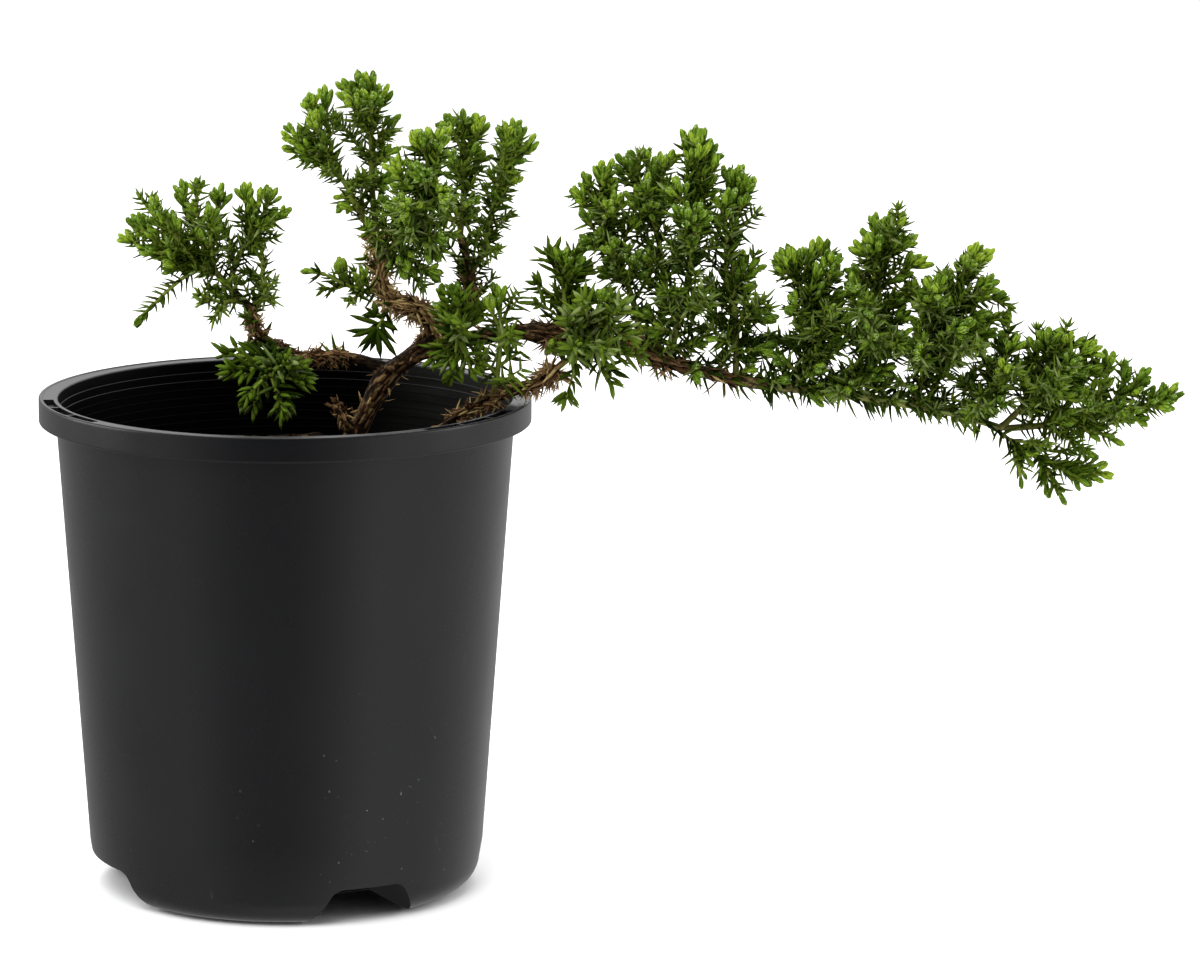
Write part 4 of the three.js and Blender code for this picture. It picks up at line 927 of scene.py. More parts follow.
# Whorls of needles along a path. They stand far out from it at its root and lie closer to it at its tip.
# Loose ones stand every way and in bunches.
def addNeedles(group, path, habit, random, fromAt, toAt, size=1.0, age=0.0, keep=1.0, loose=0.0):
    even = evenly(path, needles["whorl"])[0]
    at = np.linspace(0, 1, len(even))
    ahead = directions(even)
    chosen = (at >= fromAt) & (at <= toAt)
    if not chosen.any():
        return
    perWhorl = needles["perWhorl"]
    ref = across(ahead[0], random)
    phase = random.random() * 6
    foot, axis, out = placesRound(even[chosen], ahead[chosen], ref, phase, math.pi / 3, perWhorl)
    where = np.repeat(at[chosen], perWhorl)
    count = len(foot)

    def strayed(key, shape=count):
        return random.normal(0, needles[key][0] + needles[key][1] * loose, shape)

    spread = np.radians(habit["rootSpread"] + (habit["tipSpread"] - habit["rootSpread"]) * where ** 1.5)
    spread = spread + random.normal(0, needles["spread"], count)
    length = habit["needle"] * size * (1 - needles["taper"] * where ** 2)
    length = length * random.uniform(*needles["lengths"], count)
    width = habit["width"] * random.uniform(*needles["widths"], count)
    out = unit(out + strayed("sway", (count, 3)))
    axis = unit(axis + strayed("roll", (count, 3)))
    foot = foot + out * needles["sunk"]
    shade = needles["rootShade"] + needles["tipShade"] * where - age + habit["light"]
    shade = shade + random.normal(0, needles["shade"], count)
    under = np.clip(np.floor(shade * needles["shades"]), 0, greenCount - 1)
    bloomed = random.random(count) < habit["bloom"]
    bloom = np.where(random.random(count) < needles["pale"], 2 * greenCount + 1, 2 * greenCount)
    upper = np.where(bloomed, bloom, under + greenCount)
    kept = random.random(count) < keep
    if loose:
        form = looseNeedles
        bunches = random.uniform(1 - form["thinnest"] * loose, form["fullest"], form["bunches"])
        width = width * (1 + form["wider"] * loose)
        length = length * random.uniform(1 - form["shorter"] * loose, 1 + form["longer"] * loose, count)
        kept &= random.random(count) < np.interp(where, np.linspace(0, 1, form["bunches"]), bunches)
    tip = foot + (axis * np.cos(spread)[:, None] + out * np.sin(spread)[:, None]) * length[:, None]
    kept &= ~insidePot(tip) & (np.abs(out[:, 1]) <= habit["front"])
    curl = random.normal(needles["curled"], needles["curl"][0] + needles["curl"][1] * loose, count)
    values = (foot, axis, out, length, width, spread, curl, upper, under)
    addBlades(group["needles"], *(value[kept] for value in values))


# A bud is a plump young shoot, widest near its round tip: short broad scales in whorls that close over it.
# The whorls go from its root up: how far up and out their scales stand, how long and wide the scales are,
# all as shares of the bud's length, and how they spread and curl in.
budWhorls = {"up": [0, 0.17, 0.35, 0.5, 0.6], "out": [0.045, 0.07, 0.08, 0.06, 0.012],
             "long": [0.56, 0.54, 0.5, 0.43, 0.37], "wide": [0.19, 0.22, 0.235, 0.225, 0.17],
             "spread": [20, 25, 29, 27, 15], "curl": [0.26, 0.4, 0.53, 0.6, 0.3]}
bud = {"perWhorl": 3, "lengths": [0.94, 1.06], "spread": 0.05, "lighter": 0.3, "darker": 0.2, "edged": 0.55,
       "core": [0, 0.35, 0.62], "coreRadius": [0.06, 0.15]}


def addBud(group, place, ahead, length, tone, random):
    whorls, perWhorl = len(budWhorls["up"]), bud["perWhorl"]
    rows = {key: np.repeat(values, perWhorl) for key, values in budWhorls.items()}
    path = place + ahead * (np.array(budWhorls["up"]) * length)[:, None]
    foot, axis, out = placesRound(path, np.repeat(ahead[None], whorls, axis=0), across(ahead, random),
                                  random.random() * 6, math.pi / 3, perWhorl)
    count = len(foot)
    foot = foot + out * (rows["out"] * length)[:, None]
    spread = np.radians(rows["spread"]) + random.normal(0, bud["spread"], count)
    scale = length * rows["long"] * random.uniform(*bud["lengths"], count)
    under = tone + (random.random(count) < bud["lighter"]) - (random.random(count) < bud["darker"])
    under = np.clip(under, 0, 3)
    edge = np.where(random.random(count) < bud["edged"], 4, under)
    wide = length * rows["wide"]
    addBlades(group["buds"], foot, axis, out, scale, wide, spread, rows["curl"], under, under, edge)
    core = place + ahead * (np.array(bud["core"]) * length)[:, None]
    group["twigs"].append((core, *(length * radius for radius in bud["coreRadius"]), 2))


# The end of a shoot: one bud at its tip and others round it on short stalks, all leaning the shoot's way.
cluster = {
    "length": [5.3, 7.0], "beside": [2, 5], "besideFine": [1, 3], "smaller": [0.75, 1.0],
    "stalk": [0.4, 1.8], "stalkRadius": [0.5, 0.45], "tipSunk": 0.92, "sunk": 0.9, "back": [0.2, 5.0],
    "farBack": 3.5, "onward": 0.35, "lean": [18, 38], "lift": 0.12, "lighter": 0.3,
}


def addCluster(group, path, share, random, count, tone):
    end, tipWay = path[-1], directions(path)[-1]
    size = random.uniform(*cluster["length"]) * share
    addBud(group, end - tipWay * size * cluster["tipSunk"], tipWay, size, tone, random)
    turn = random.random() * 6
    first = across(tipWay, random)
    second = np.cross(tipWay, first)
    for i in range(count):
        turn += golden
        out = first * math.cos(turn) + second * math.sin(turn)
        back = random.uniform(*cluster["back"])
        lean = math.radians(random.uniform(*cluster["lean"]))
        way = unit(tipWay * math.cos(lean) + out * math.sin(lean) + up * cluster["lift"])
        small = size * random.uniform(*cluster["smaller"])
        root = end - tipWay * (size * cluster["sunk"] + back)
        foot = root + way * (random.uniform(*cluster["stalk"]) + back * cluster["onward"])
        lighter = (random.random() < cluster["lighter"]) - (back > cluster["farBack"])
        addBud(group, foot, way, small, max(tone + lighter, 0), random)
        group["twigs"].append((np.stack([root, foot + way * small * 0.2]), *cluster["stalkRadius"], 1))


# Shoots beside a stem or a twig: how far apart, how long and at what angle they stand, and from how far
# along. No shoot stands beside the last stretch, "endRoom".
besideStem = {"every": 3.6, "length": [8, 15], "angle": 62, "from": 0.16}
besideTwig = {"every": 4.6, "length": [3.6, 7.6], "angle": 42, "from": 0.15}
sideShoot = {"endRoom": 4, "longest": 1.1, "shorter": 0.4, "stray": 7, "bend": 0.45, "onward": 0.15,
             "potRoom": 1.5, "woodRoom": 0.6}


# Shoots all round a path. Each follows its twig a little before it turns out and up. One that would point
# down further than "lowest", or run into the pot or the wood, is skipped.
def addSideShoots(group, path, habit, random, beside, kind, apart=1, fill=1, lift=0.25, lowest=-1.0):
    even, run = evenly(path, beside["every"] * apart)
    length = [value * fill for value in beside["length"]]
    ahead = directions(even)
    turn = random.random() * 6
    first = across(ahead[0], random)
    for i in range(len(even)):
        at = i / (len(even) - 1)
        turn += golden
        if at < beside["from"] or at * run > run - sideShoot["endRoom"]:
            continue
        second = np.cross(ahead[i], first)
        out = unit(first * math.cos(turn) + second * math.sin(turn) + up * lift)
        size = random.uniform(*length) * (sideShoot["longest"] - sideShoot["shorter"] * at)
        lean = math.radians(beside["angle"] + random.normal(0, sideShoot["stray"]))
        way = unit(ahead[i] * math.cos(lean) + out * math.sin(lean))
        bend = even[i] + unit(way * 0.7 + out * 0.5) * size * sideShoot["bend"]
        side = curvedPath(even[i], bend, even[i] + (way + ahead[i] * sideShoot["onward"]) * size, 8)
        if way[2] < lowest or insidePot(side[-1:], sideShoot["potRoom"])[0]:
            continue
        if nearWood(side[-3:], sideShoot["woodRoom"]).any():
            continue
        growShoot(group, side, habit, random, kind, at)


# The share of shoots of each kind that end in buds. A "side" shoot has none before "sideBudsFrom".
budShares = {"stem": 0, "twig": 1, "fine": 0.9, "slim": 1, "inner": 0.55, "bare": 0, "plain": 0,
             "fill": 0.07, "side": 0.85}
sideBudsFrom = 0.35
budRoom = 5.5  # the stretch that the buds at a shoot's end take up
# A shoot's radii at its root and its tip, where its needles start, their size and age, and the share kept.
shootForms = {
    "stem": {"radii": [1.25, 0.85], "from": 0.1, "to": 0.98, "size": 1.08, "age": 0.4, "keep": 0.9},
    "twig": {"radii": [0.8, 0.5], "from": 0.03, "size": 1.0, "age": 0.05, "keep": 1},
    "plain": {"radii": [0.6, 0.4], "from": 0.03, "size": 0.85, "age": 0.05, "keep": 0.8},
    "fill": {"radii": [0.45, 0.35], "from": 0.1, "size": 0.9, "age": 0.2, "keep": 1},
    "side": {"radii": [0.45, 0.35], "from": 0.1, "size": 0.9, "age": 0, "keep": 1},
}
# Further needles: all along a slim shoot, and at the end of one without buds.
slimNeedles = {"from": 0.1, "size": 0.9, "keep": 0.35}
endNeedles = {"from": 0.85, "size": 0.75, "age": -0.1}


# One shoot: its twig, its needles, the shoots beside it and the buds at its end.
def growShoot(group, path, habit, random, kind, at=1.0):
    form = shootForms.get(kind, shootForms["twig"])
    share = budShares[kind] * (kind != "side" or at > sideBudsFrom)
    budded = random.random() < share * habit["buds"]
    tone = int(random.integers(0, 4 if kind == "twig" else 3))
    keep = habit["keep"]
    to = max(1 - budRoom / runAlong(path)[-1], 0.3) if budded else 1
    if kind == "stem":
        radii = [radius * habit["stem"] for radius in form["radii"]]
        group["twigs"].append((path, *radii, habit["stemTone"]))
        to = form["to"]
    else:
        group["twigs"].append((path[::2] if kind in ("side", "fill") else path, *form["radii"], 1))
    addNeedles(group, path, habit, random, form["from"], to, form["size"], form["age"], keep * form["keep"])
    if kind == "stem":
        addSideShoots(group, path, habit, random, besideStem, "fill", habit["sides"], habit["fill"])
        return
    if kind == "slim":
        further = slimNeedles
        addNeedles(group, path, habit, random, further["from"], to, further["size"], keep=further["keep"])
    if kind in ("twig", "fine", "inner", "bare"):
        sideKind = "side" if kind in ("twig", "fine") else "fill"
        addSideShoots(group, path, habit, random, besideTwig, sideKind, habit["sides"])
    if budded:
        beside = random.integers(*cluster["beside" if kind == "twig" else "besideFine"])
        addCluster(group, path, habit["budSize"], random, int(beside), tone)
    else:
        further = endNeedles
        addNeedles(group, path, habit, random, further["from"], 1, further["size"], further["age"], keep)


# A twig that is no more than one broad blade. It faces the front and a little up.
bladeTwig = {"facing": [0, -1, 0.5], "stray": 0.35, "widths": [0.85, 1.1], "curl": 0.1, "upper": [5, 8],
             "under": [1, 3]}


def addBladeTwig(group, path, habit, random):
    way = path[-1] - path[0]
    length = np.linalg.norm(way)
    ahead = way / length
    facing = np.array(bladeTwig["facing"]) + random.normal(0, bladeTwig["stray"], 3)
    facing = unit(facing - ahead * facing.dot(ahead))
    wide = habit["width"] * random.uniform(*bladeTwig["widths"])
    curl = random.normal(0, bladeTwig["curl"])
    upper, under = random.integers(*bladeTwig["upper"]), random.integers(*bladeTwig["under"])
    addBlades(group["needles"], path[:1], ahead, facing, [length], [wide], [0.0], [curl], [upper], [under])


innerTo = 0.45  # twigs that leave their stem before this place are inner ones


def kindOf(mass, order, leave):
    for kind in ("slim", "plain"):
        if order in mass.get(kind, ()):
            return kind
    if "budded" in mass:
        return "twig" if order in mass["budded"] else "bare"
    return "inner" if leave < innerTo else "twig"


# Needles and short shoots on the boughs themselves, where they are young enough to be green: stretches of a
# limb from 0 to 1, the shares of needles kept in each round of them, how far apart and how long the shoots
# are, and how far down they may point.
greenKeys = ("limb", "from", "to", "group", "habit", "keeps", "every", "length", "lowest")
greenRows = [
    ("bough_long", 0.9, 1.0, "middle", "bloomed", [0.5, 0.3], 4.2, [7, 13], -0.05),
    ("bough_outer", 0.0, 0.44, "middle", "bloomed", [0.5, 0.4], 3.8, [7, 14], -0.05),
    ("bough_outer", 0.44, 0.9, "right", "bloomed", [0.8, 0.75, 0.6], 1.9, [6, 12], -0.2),
    ("bough_outer", 0.9, 1.0, "right", "bloomed", [0.6, 0.4], 4, [6, 10], 0.1),
    ("bough_centre", 0.38, 1.0, "left", "fresh", [0.5, 0.3], 2.4, [7, 15], -0.05),
    ("bough_top_left", 0.72, 1.0, "left", "fresh", [0.5, 0.3], 3.5, [5, 9], -0.05),
    ("bough_left", 0.66, 1.0, "left", "fresh", [0.5, 0.3], 5, [4, 8], -0.05),
    ("bough_left", 0.2, 0.25, "left", "fresh", [0.9, 0.6], 0, [4, 8], -0.05),
]
onBough = {"steps": 60, "angle": 68, "from": 0.0, "lift": 0.7, "size": 1.22, "age": 0.2, "loose": 0.6}


def growOnBoughs(groups):
    steps = onBough["steps"]
    for order, row in enumerate(greenRows):
        stretch = dict(zip(greenKeys, row))
        random = np.random.default_rng(growth["seed"] + len(masses) + order)
        habit = habits[stretch["habit"]]
        whole = limbPath(limbs[stretch["limb"]], steps)[0]
        path = whole[int(stretch["from"] * steps):int(stretch["to"] * steps) + 1]
        group = groups[stretch["group"]]
        for keep in stretch["keeps"]:
            addNeedles(group, path, habit, random, 0, 1, onBough["size"], onBough["age"], keep,
                       onBough["loose"])
        if stretch["every"]:
            beside = {"every": stretch["every"], "length": stretch["length"], "angle": onBough["angle"],
                      "from": onBough["from"]}
            addSideShoots(group, path, habit, random, beside, "fill", lift=onBough["lift"],
                          lowest=stretch["lowest"])


# Tubes of five sides along all the twigs of a group, closed at both ends.
brownTo = 0.35  # a brown twig is green beyond this share of its length


def twigMesh(name, twigs, sides=5):
    points, corners, sizes, colours = [], [], [], []
    start = 0
    angles = np.arange(sides) * 2 * math.pi / sides
    for path, rootRadius, tipRadius, colour in twigs:
        count = len(path)
        ahead = directions(path)
        ref = np.array([0.31, 0.83, 0.47]) if abs(ahead[0][1]) < 0.8 else np.array([0.9, 0.1, 0.4])
        first = unit(ref - ahead * (ahead @ ref)[:, None])[:, None]
        second = np.cross(ahead, first[:, 0])[:, None]
        radii = np.linspace(rootRadius, tipRadius, count)[:, None, None]
        ring = first * np.cos(angles)[None, :, None] + second * np.sin(angles)[None, :, None]
        points.append((path[:, None] + ring * radii).reshape(-1, 3))
        for r in range(count - 1):
            for s in range(sides):
                a, b = start + r * sides + s, start + r * sides + (s + 1) % sides
                corners += [a, b, b + sides, a + sides]
            sizes += [4] * sides
            colours += [colour if r < count * brownTo else max(colour, 1)] * sides
        corners += [start + s for s in range(sides - 1, -1, -1)]
        corners += [start + (count - 1) * sides + s for s in range(sides)]
        sizes += [sides, sides]
        colours += [colour, colour]
        start += count * sides
    return meshFromFaces(name, np.vstack(points), corners, sizes, colours)


# A mass's group, by how far to the right its stem starts.
groupsFrom = {"middle": 90, "right": 165}


def groupOf(mass):
    far = mass["stem"][0][0]
    if far < groupsFrom["middle"]:
        return "left"
    return "middle" if far < groupsFrom["right"] else "right"


# The blades whose tips and middles are clear of the wood.
def clearOfWood(blades):
    reach = aheadOf(blades) * blades["length"][:, None]
    clear = ~nearWood(blades["foot"] + reach) & ~nearWood(blades["foot"] + reach * 0.6, -0.1)
    return chosenOnes(blades, clear)


# The greens: names, then linear colours. Each needle has an upper and an under side.
needleColours = {
    "deep under": (0.011, 0.024, 0.001), "dark under": (0.021, 0.041, 0.002),
    "mid under": (0.04, 0.069, 0.004), "fresh under": (0.075, 0.125, 0.009),
    "deep upper": (0.021, 0.042, 0.003), "dark upper": (0.038, 0.066, 0.006),
    "mid upper": (0.066, 0.106, 0.011), "fresh upper": (0.105, 0.165, 0.014),
    "bloom upper": (0.12, 0.17, 0.04), "pale bloom upper": (0.185, 0.24, 0.075),
}
budColours = {
    "bud green": (0.078, 0.145, 0.012), "bud mid": (0.126, 0.218, 0.017), "bud light": (0.18, 0.29, 0.022),
    "bud yellow": (0.236, 0.345, 0.026), "bud edge": (0.235, 0.325, 0.1),
}
twigColours = {
    "brown twig": (0.1, 0.1, 0.026), "green twig": (0.15, 0.19, 0.03), "bud core": (0.05, 0.1, 0.006),
}


def growMass(group, name, mass, random):
    habit = habits[mass.get("habit", "fresh")]
    stem = stemOf(mass)
    growShoot(group, onSpline(stem, np.linspace(0, 1, 25)), habit, random, "stem")
    twigs = [(order, row, kindOf(mass, order, row[0])) for order, row in enumerate(mass["twigs"])]
    twigs += [(order, row, "fine") for order, row in enumerate(mass.get("fine", []))]
    for order, row, kind in twigs:
        path = twigOf(stem, row, order)
        if name == "foliage_sprig":
            addBladeTwig(group, path, habit, random)
        else:
            growShoot(group, path, habit, random, kind)


def makeFoliage():
    groups = {name: newGroup() for name in ("left", "middle", "right")}
    members = {name: [] for name in groups}
    for order, (name, mass) in enumerate(masses.items()):
        members[groupOf(mass)].append(name)
        growMass(groups[groupOf(mass)], name, mass, np.random.default_rng(growth["seed"] + order))
    growOnBoughs(groups)
    greens = plainMaterials(needleColours, 0.6)
    youngGreens = plainMaterials(budColours, 0.5)
    twigTones = plainMaterials(twigColours, 0.75)
    for name, group in groups.items():
        green = bladeMesh("needles_" + name, clearOfWood(gathered(group["needles"])))
        newPiece("needles_" + name, green, greens, members[name])
        young = bladeMesh("young_shoots_" + name, gathered(group["buds"]), "bud", 0.24)
        newPiece("young_shoots_" + name, young, youngGreens)
        newPiece("twigs_" + name, twigMesh("twigs_" + name, group["twigs"]), twigTones)


# What hangs on the old wood, for stretches of each limb from 0 to 1: how many dead needles and flakes of
# bark, how long they are, how far the needles sag, and how pale they are.
shagKeys = ("limb", "from", "to", "needles", "flakes", "length", "sag", "tone")
shagRows = [
    ("trunk", 0.12, 1.0, 50, 50, [2.5, 5], 0.2, 1.2),
    ("stub", 0.2, 1.0, 26, 30, [1.8, 4], 0.6, 1.2),
    ("bough_left", 0.17, 0.62, 240, 70, [2, 4.6], 1.6, 1.2),
    ("bough_left", 0.68, 0.84, 80, 15, [2.5, 5], 0.1, 1.8),
    ("bough_top_left", 0.0, 0.62, 300, 110, [3, 7], 0.2, 2.5),
    ("bough_top_left", 0.6, 1.0, 210, 30, [4, 7.5], 0.0, 2.8),
    ("bough_centre", 0.05, 0.7, 130, 40, [3, 6], 0.1, 1.6),
    ("bough_long", 0.0, 1.0, 70, 70, [3, 6], 0.3, 1.2),
    ("bough_long", 0.5, 0.66, 120, 10, [4, 8], 0.0, 1.2),
    ("bough_long", 0.84, 0.96, 60, 10, [4, 7], 0.0, 1.2),
    ("bough_low", 0.42, 0.86, 280, 20, [3, 7], 0.5, 1.7),
    ("bough_low", 0.88, 1.0, 110, 10, [4, 8], 0.3, 1.9),
    ("bough_low", 0.0, 1.0, 40, 40, [2, 4], 0.2, 1.2),
    ("bough_outer", 0.0, 0.4, 60, 40, [4, 8], 0.8, 1.2),
]
# How a dead needle or a flake of bark stands out, how wide it is, and how its curl and its tone stray.
shagForms = {
    "needles": {"spread": [25, 85], "width": [0.6, 1.3], "curl": [0.1, 0.15], "stray": 0.8},
    "flakes": {"spread": [4, 24], "width": [0.9, 1.8], "curl": [0.05, 0.1], "stray": 0.75, "darker": 0.3,
               "shorter": 0.85},
}
shagSunk = 0.94  # where their feet are, as a share of the limb's radius
deadColours = {
    "dead dark": (0.1, 0.055, 0.026), "dead brown": (0.22, 0.135, 0.062), "dead tan": (0.46, 0.33, 0.14),
    "dead pale": (0.7, 0.56, 0.27),
}
flakeColours = {
    "flake dark": (0.016, 0.008, 0.004), "flake brown": (0.072, 0.038, 0.015),
    "flake pale": (0.21, 0.123, 0.05),
}


def makeShag():
    dead, flakes = newBlades(), newBlades()
    steps = 100
    for order, stretchRow in enumerate(shagRows):
        stretch = dict(zip(shagKeys, stretchRow))
        random = np.random.default_rng(growth["seed"] + 100 + order)
        path, radii = limbPath({**limbs, "stub": stub}[stretch["limb"]], steps)
        ahead = directions(path)
        for kind, form in shagForms.items():
            count = stretch[kind]
            row = (random.uniform(stretch["from"], stretch["to"], count) * steps).astype(int)
            out = random.normal(size=(count, 3))
            out = unit(out - ahead[row] * (out * ahead[row]).sum(axis=1, keepdims=True))
            foot = path[row] + out * radii[row][:, None] * shagSunk
            axis = ahead[row] * np.where(random.random(count) < 0.5, 1, -1)[:, None]
            length = random.uniform(*stretch["length"], count)
            if kind == "needles":
                out = unit(out - up * stretch["sag"] * random.random((count, 1)))
                spread = np.radians(random.uniform(*form["spread"], count))
                tone = np.clip(np.round(random.normal(stretch["tone"], form["stray"], count)), 0, 3)
                width = random.uniform(*form["width"], count)
                curl = random.normal(*form["curl"], count)
                addBlades(dead, foot, axis, out, length, width, spread, curl, tone, np.clip(tone - 1, 0, 3))
            else:
                tone = random.normal(stretch["tone"] - form["darker"], form["stray"], count)
                tone = np.clip(np.round(tone), 0, 2)
                width = random.uniform(*form["width"], count)
                spread = np.radians(random.uniform(*form["spread"], count))
                curl = random.normal(*form["curl"], count)
                length = length * form["shorter"]
                addBlades(flakes, foot, axis, out, length, width, spread, curl, tone, tone)
    dead = gathered(dead)
    dead = chosenOnes(dead, ~insidePot(dead["foot"] + unit(dead["out"]) * dead["length"][:, None], 0.2))
    browns = plainMaterials(deadColours, 0.85)
    newPiece("dead_needles", bladeMesh("dead_needles", dead), browns)
    skin = bladeMesh("bark_flakes", gathered(flakes), "bud", 0.15)
    newPiece("bark_flakes", skin, plainMaterials(flakeColours, 0.9))


# The wood: all limbs melted into one skin, with relief that runs along each limb. The bark's own noise has
# a fine grain and larger plates, both stretched along the limb, and differs from limb to limb by "apart".
wood = {
    "voxel": 0.48, "relief": 0.3, "youngRelief": 0.12, "youngFrom": 150, "youngTo": 190, "split": 172,
    "fullRadius": 2.6, "grain": 0.9, "grainAlong": 0.16, "plate": 0.45, "plateAlong": 0.3, "apart": 200,
}


# A round tube along a limb, as thick at each point as the limb is there.
def limbTube(path, radii):
    curve = bpy.data.curves.new("limb", "CURVE")
    curve.dimensions = "3D"
    curve.bevel_depth = mm
    curve.bevel_resolution = 5
    curve.use_fill_caps = True
    spline = curve.splines.new("POLY")
    spline.points.add(len(path) - 1)
    spline.points.foreach_set("co", np.hstack([path * mm, np.ones((len(path), 1))]).ravel())
    spline.points.foreach_set("radius", radii)
    return evaluatedMesh(newObject("limb", curve))


def vertexValues(mesh, name):
    values = np.empty(len(mesh.vertices) * 3, np.float32)
    mesh.vertices.foreach_get(name, values)
    return values.reshape(-1, 3)


# The height of the bark at one vertex, from its place across the limb and how far along the limb it lies.
def barkHeight(x, y, z, along):
    grain, plate = wood["grain"], wood["plate"]
    fine = Vector((x * grain, y * grain, z * grain + along * wood["grainAlong"]))
    coarse = Vector((x * plate + 7, y * plate, z * plate + along * wood["plateAlong"]))
    fibre = noise.fractal(fine, 0.9, 2.1, 4)
    plates = noise.noise(coarse)
    return 0.75 * fibre + 0.5 * abs(plates) - 0.1


# Moves each vertex of the skin along its normal by the bark's height, less where the limb is young or thin.
def addRelief(mesh):
    places = vertexValues(mesh, "co").astype(float) / mm
    normals = vertexValues(mesh, "normal")
    limbRuns = []
    for i, (path, radii) in enumerate(limbPlaces):
        limbRuns.append(runAlong(path) + wood["apart"] * i)
    nearest = np.concatenate([gaps.argmin(axis=1) for gaps in gapsToWood(places)])
    ahead = directions(woodPoints)[nearest]
    radius = woodRadii[nearest]
    offset = places - woodPoints[nearest]
    onward = (offset * ahead).sum(axis=1)
    along = np.concatenate(limbRuns)[nearest] + onward
    radial = unit(offset - ahead * onward[:, None]) * radius[:, None]
    relief = np.array([barkHeight(*place, run) for place, run in zip(radial, along)])
    youth = np.clip((places[:, 0] - wood["youngFrom"]) / (wood["youngTo"] - wood["youngFrom"]), 0, 1)
    amount = wood["relief"] + (wood["youngRelief"] - wood["relief"]) * youth
    amount = amount * np.clip(radius / wood["fullRadius"], 0.5, 1.3)
    places = places + normals * (relief * amount)[:, None]
    mesh.vertices.foreach_set("co", (places * mm).astype(np.float32).ravel())
    for name, values in (("relief", relief), ("youth", youth)):
        mesh.attributes.new(name, "FLOAT", "POINT").data.foreach_set("value", values.astype(np.float32))
    mesh.update()


# The part of the skin on one side of the split, closed again where it was cut.
def halfSkin(mesh, name, keepRight):
    bm = bmesh.new()
    bm.from_mesh(mesh)
    everything = bm.verts[:] + bm.edges[:] + bm.faces[:]
    bmesh.ops.bisect_plane(bm, geom=everything, plane_co=(wood["split"] * mm, 0, 0), plane_no=(1, 0, 0),
                           clear_inner=keepRight, clear_outer=not keepRight)
    bmesh.ops.holes_fill(bm, edges=[e for e in bm.edges if e.is_boundary], sides=0)
    half = meshOf(bm, name)
    half.polygons.foreach_set("use_smooth", np.ones(len(half.polygons), bool))
    return half


def makeWood(material):
    bm = bmesh.new()
    for limb in [*limbs.values(), stub, knot]:
        bm.from_mesh(limbTube(*limbPath(limb, 80)))
    mesh = finishMesh(bm, "wood")
    mesh = modified(mesh, "REMESH", mode="VOXEL", voxel_size=wood["voxel"] * mm, adaptivity=0)
    addRelief(mesh)
    older = [name for name in limbs if name != "bough_outer"]
    newPiece("bark", halfSkin(mesh, "bark", False), [material], older)
    newPiece("young_bark", halfSkin(mesh, "young_bark", True), [material], ["bough_outer"])


def barkMaterial():
    material, tree, shader = newMaterial("flaky bark", (0.12, 0.07, 0.04), 0.9, 0.25)
    place = objectPlace(tree)
    relief = addNode(tree, "ShaderNodeAttribute", attribute_name="relief").outputs["Fac"]
    youth = addNode(tree, "ShaderNodeAttribute", attribute_name="youth").outputs["Fac"]
    grain = noiseNode(tree, place, 900, 4)
    # The bark's colour follows its relief, old and young alike: painted shade in the crevices and painted
    # light on the ridges, with the fine grain's noise as uneven tone.
    reliefShade = mathNode(tree, "MULTIPLY", relief, 0.9)
    height = mathNode(tree, "ADD", reliefShade, mathNode(tree, "MULTIPLY", grain, 0.8))
    old = rampNode(tree, height, [(0.15, (0.004, 0.0015, 0.0008)), (0.42, (0.021, 0.0095, 0.004)),
                                  (0.6, (0.076, 0.042, 0.018)), (0.85, (0.21, 0.13, 0.056))])
    young = rampNode(tree, height, [(0.15, (0.055, 0.05, 0.012)), (0.45, (0.12, 0.13, 0.03)),
                                    (0.8, (0.2, 0.22, 0.06))])
    uneven = mathNode(tree, "MULTIPLY", mathNode(tree, "SUBTRACT", grain, 0.5), 0.5)
    share = mathNode(tree, "ADD", youth, uneven)
    tree.links.new(mixNode(tree, share, old, young), shader.inputs["Base Color"])
    addBump(tree, shader, grain, 0.6, 0.25 * mm)
    return material


# The stage: a wide pale floor just under the pot.
def makeStage():
    bm = bmesh.new()
    under = Matrix.Translation((0, 0, -0.2 * mm))
    bmesh.ops.create_grid(bm, x_segments=1, y_segments=1, size=14, matrix=under)
    floor = newObject("floor", meshOf(bm, "floor"))
    floor.data.materials.append(newMaterial("pale floor", (0.94, 0.94, 0.94), 0.9, 0.1)[0])
    floor.visible_glossy = False  # the dark pot shows the room's sheen and not the floor's


# Places and sizes of the lights are in metres. Only those with sheen show in what is glossy.
lights = {
    "key": {"place": (-0.5, -1.1, 1.7), "size": 1.3, "power": 30, "sheen": False},
    "left": {"place": (-1.5, 0.1, 0.6), "size": 1.2, "power": 14, "sheen": True},
    "right": {"place": (1.6, 0.2, 0.6), "size": 1.2, "power": 12, "sheen": True},
    "back": {"place": (0.2, 1.6, 1.3), "size": 1.6, "power": 18, "sheen": True},
}
lightsAim = Vector((0.08, 0, 0.15))


def makeLights():
    for name, light in lights.items():
        data = bpy.data.lights.new(name, "AREA")
        data.size = light["size"]
        data.energy = light["power"]
        lamp = newObject(name, data)
        lamp.location = light["place"]
        lamp.visible_glossy = light["sheen"]
        lamp.rotation_euler = (lightsAim - lamp.location).to_track_quat("-Z", "Y").to_euler()


# The room's own light: dim on the camera's side, bright all round. What the pot mirrors lies below the
# horizon, where the room is dimmer, and dimmest straight ahead.
room = {"front": 0.1, "round": 1.3, "lowFront": 0.01, "lowMiddle": 0.26, "nearLeft": 0.56,
        "nearRight": 0.84, "farLeft": 0.4, "farRight": 0.58}


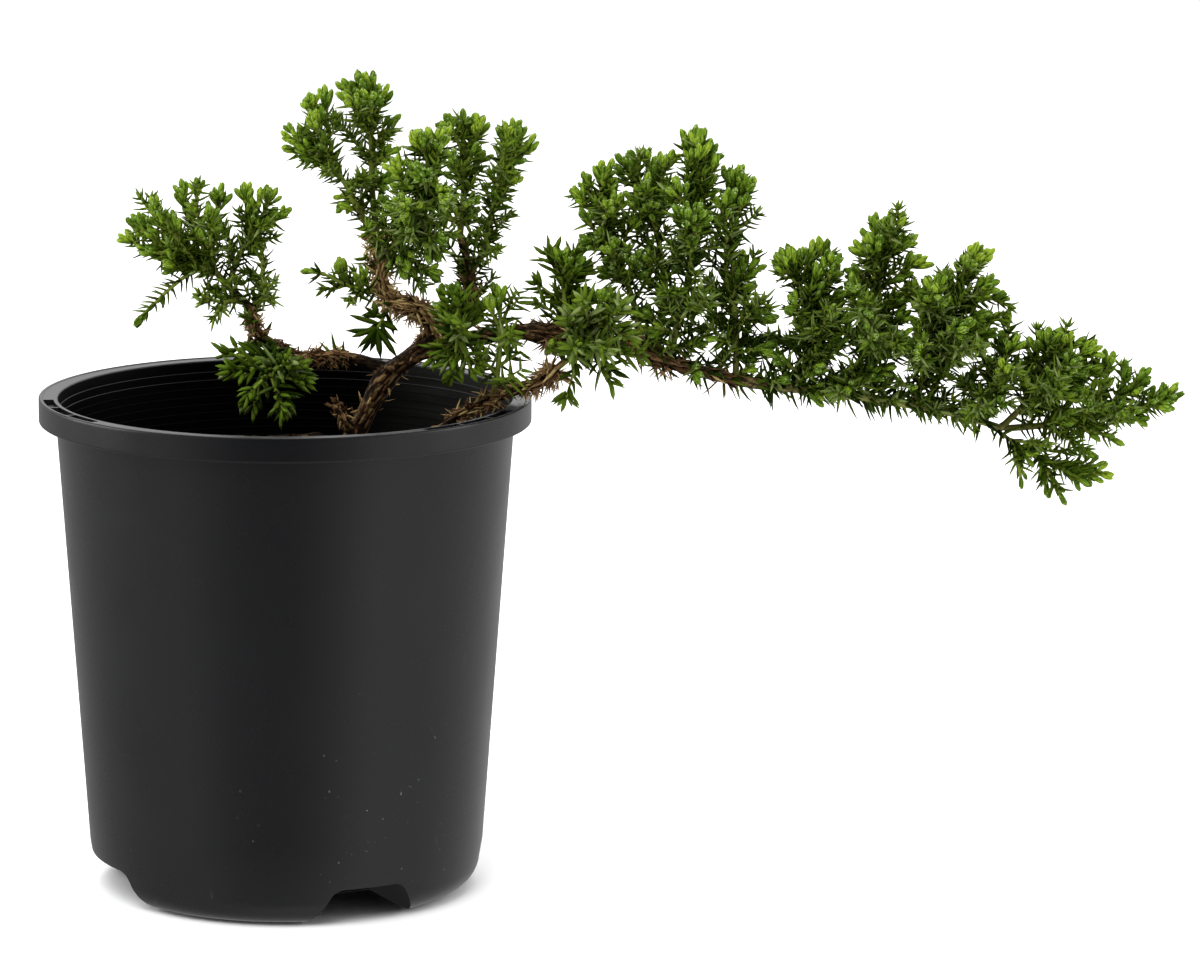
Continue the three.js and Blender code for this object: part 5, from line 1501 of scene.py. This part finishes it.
def makeRoom():
    world = bpy.data.worlds.new("studio")
    world.use_nodes = True
    tree = world.node_tree
    way = addNode(tree, "ShaderNodeTexCoord").outputs["Generated"]
    parts = addNode(tree, "ShaderNodeSeparateXYZ", {"Vector": way}).outputs

    # From one strength to another as a part of the direction goes from low to high.
    def spread(value, low, high, atLow, atHigh):
        limits = {"Value": value, "From Min": low, "From Max": high, "To Min": atLow, "To Max": atHigh}
        return addNode(tree, "ShaderNodeMapRange", limits).outputs["Result"]

    high = spread(parts["Y"], -0.95, -0.1, room["front"], room["round"])
    dip = spread(parts["Z"], -0.33, -0.19, room["lowMiddle"], room["lowFront"])
    near = spread(parts["X"], -0.4, 0.4, room["nearLeft"], room["nearRight"])
    far = spread(parts["X"], -0.4, 0.4, room["farLeft"], room["farRight"])
    low = spread(parts["Y"], -0.97, -0.62, dip, spread(parts["Y"], -0.6, 0, near, far))
    above = spread(parts["Z"], -0.02, 0.1, 0, 1)
    tree.links.new(spread(above, 0, 1, low, high), tree.nodes["Background"].inputs["Strength"])
    tree.nodes["Background"].inputs["Color"].default_value = (1, 1, 1, 1)
    bpy.context.scene.world = world


# The photograph's view: a long lens, higher than the plant and looking down a little. The place is in
# millimetres, and the angles are in radians.
view = {"place": (105.58, -1849.5, 487.9), "pitch": 0.187, "roll": 0.008, "lens": 168, "sensor": 36}


def makeCamera():
    pitch, roll = view["pitch"], view["roll"]
    ahead = Vector((0, math.cos(pitch), -math.sin(pitch)))
    above = Vector((0, math.sin(pitch), math.cos(pitch)))
    level = Vector((1, 0, 0))
    right = level * math.cos(roll) + above * math.sin(roll)
    above = above * math.cos(roll) - level * math.sin(roll)
    data = bpy.data.cameras.new("camera")
    data.sensor_fit = "HORIZONTAL"
    data.sensor_width = view["sensor"]
    data.lens = view["lens"]
    data.clip_end = 40
    camera = newObject("camera", data)
    turn = Matrix((right, above, -ahead)).transposed().to_4x4()
    camera.matrix_world = Matrix.Translation(Vector(view["place"]) * mm) @ turn
    bpy.context.scene.camera = camera


bpy.context.scene.view_settings.view_transform = "Standard"
makeCamera()
makeLights()
makeRoom()
makeStage()
print("camera, lights and floor are in place")
makePot([potMaterial(), innerShadeMaterial(), *edgeMaterials()])
makeSoil(soilMaterial())
makeChips()
print("pot and soil are made")
makeWood(barkMaterial())
makeShag()
print("wood is made")
makeFoliage()
print("foliage is grown")
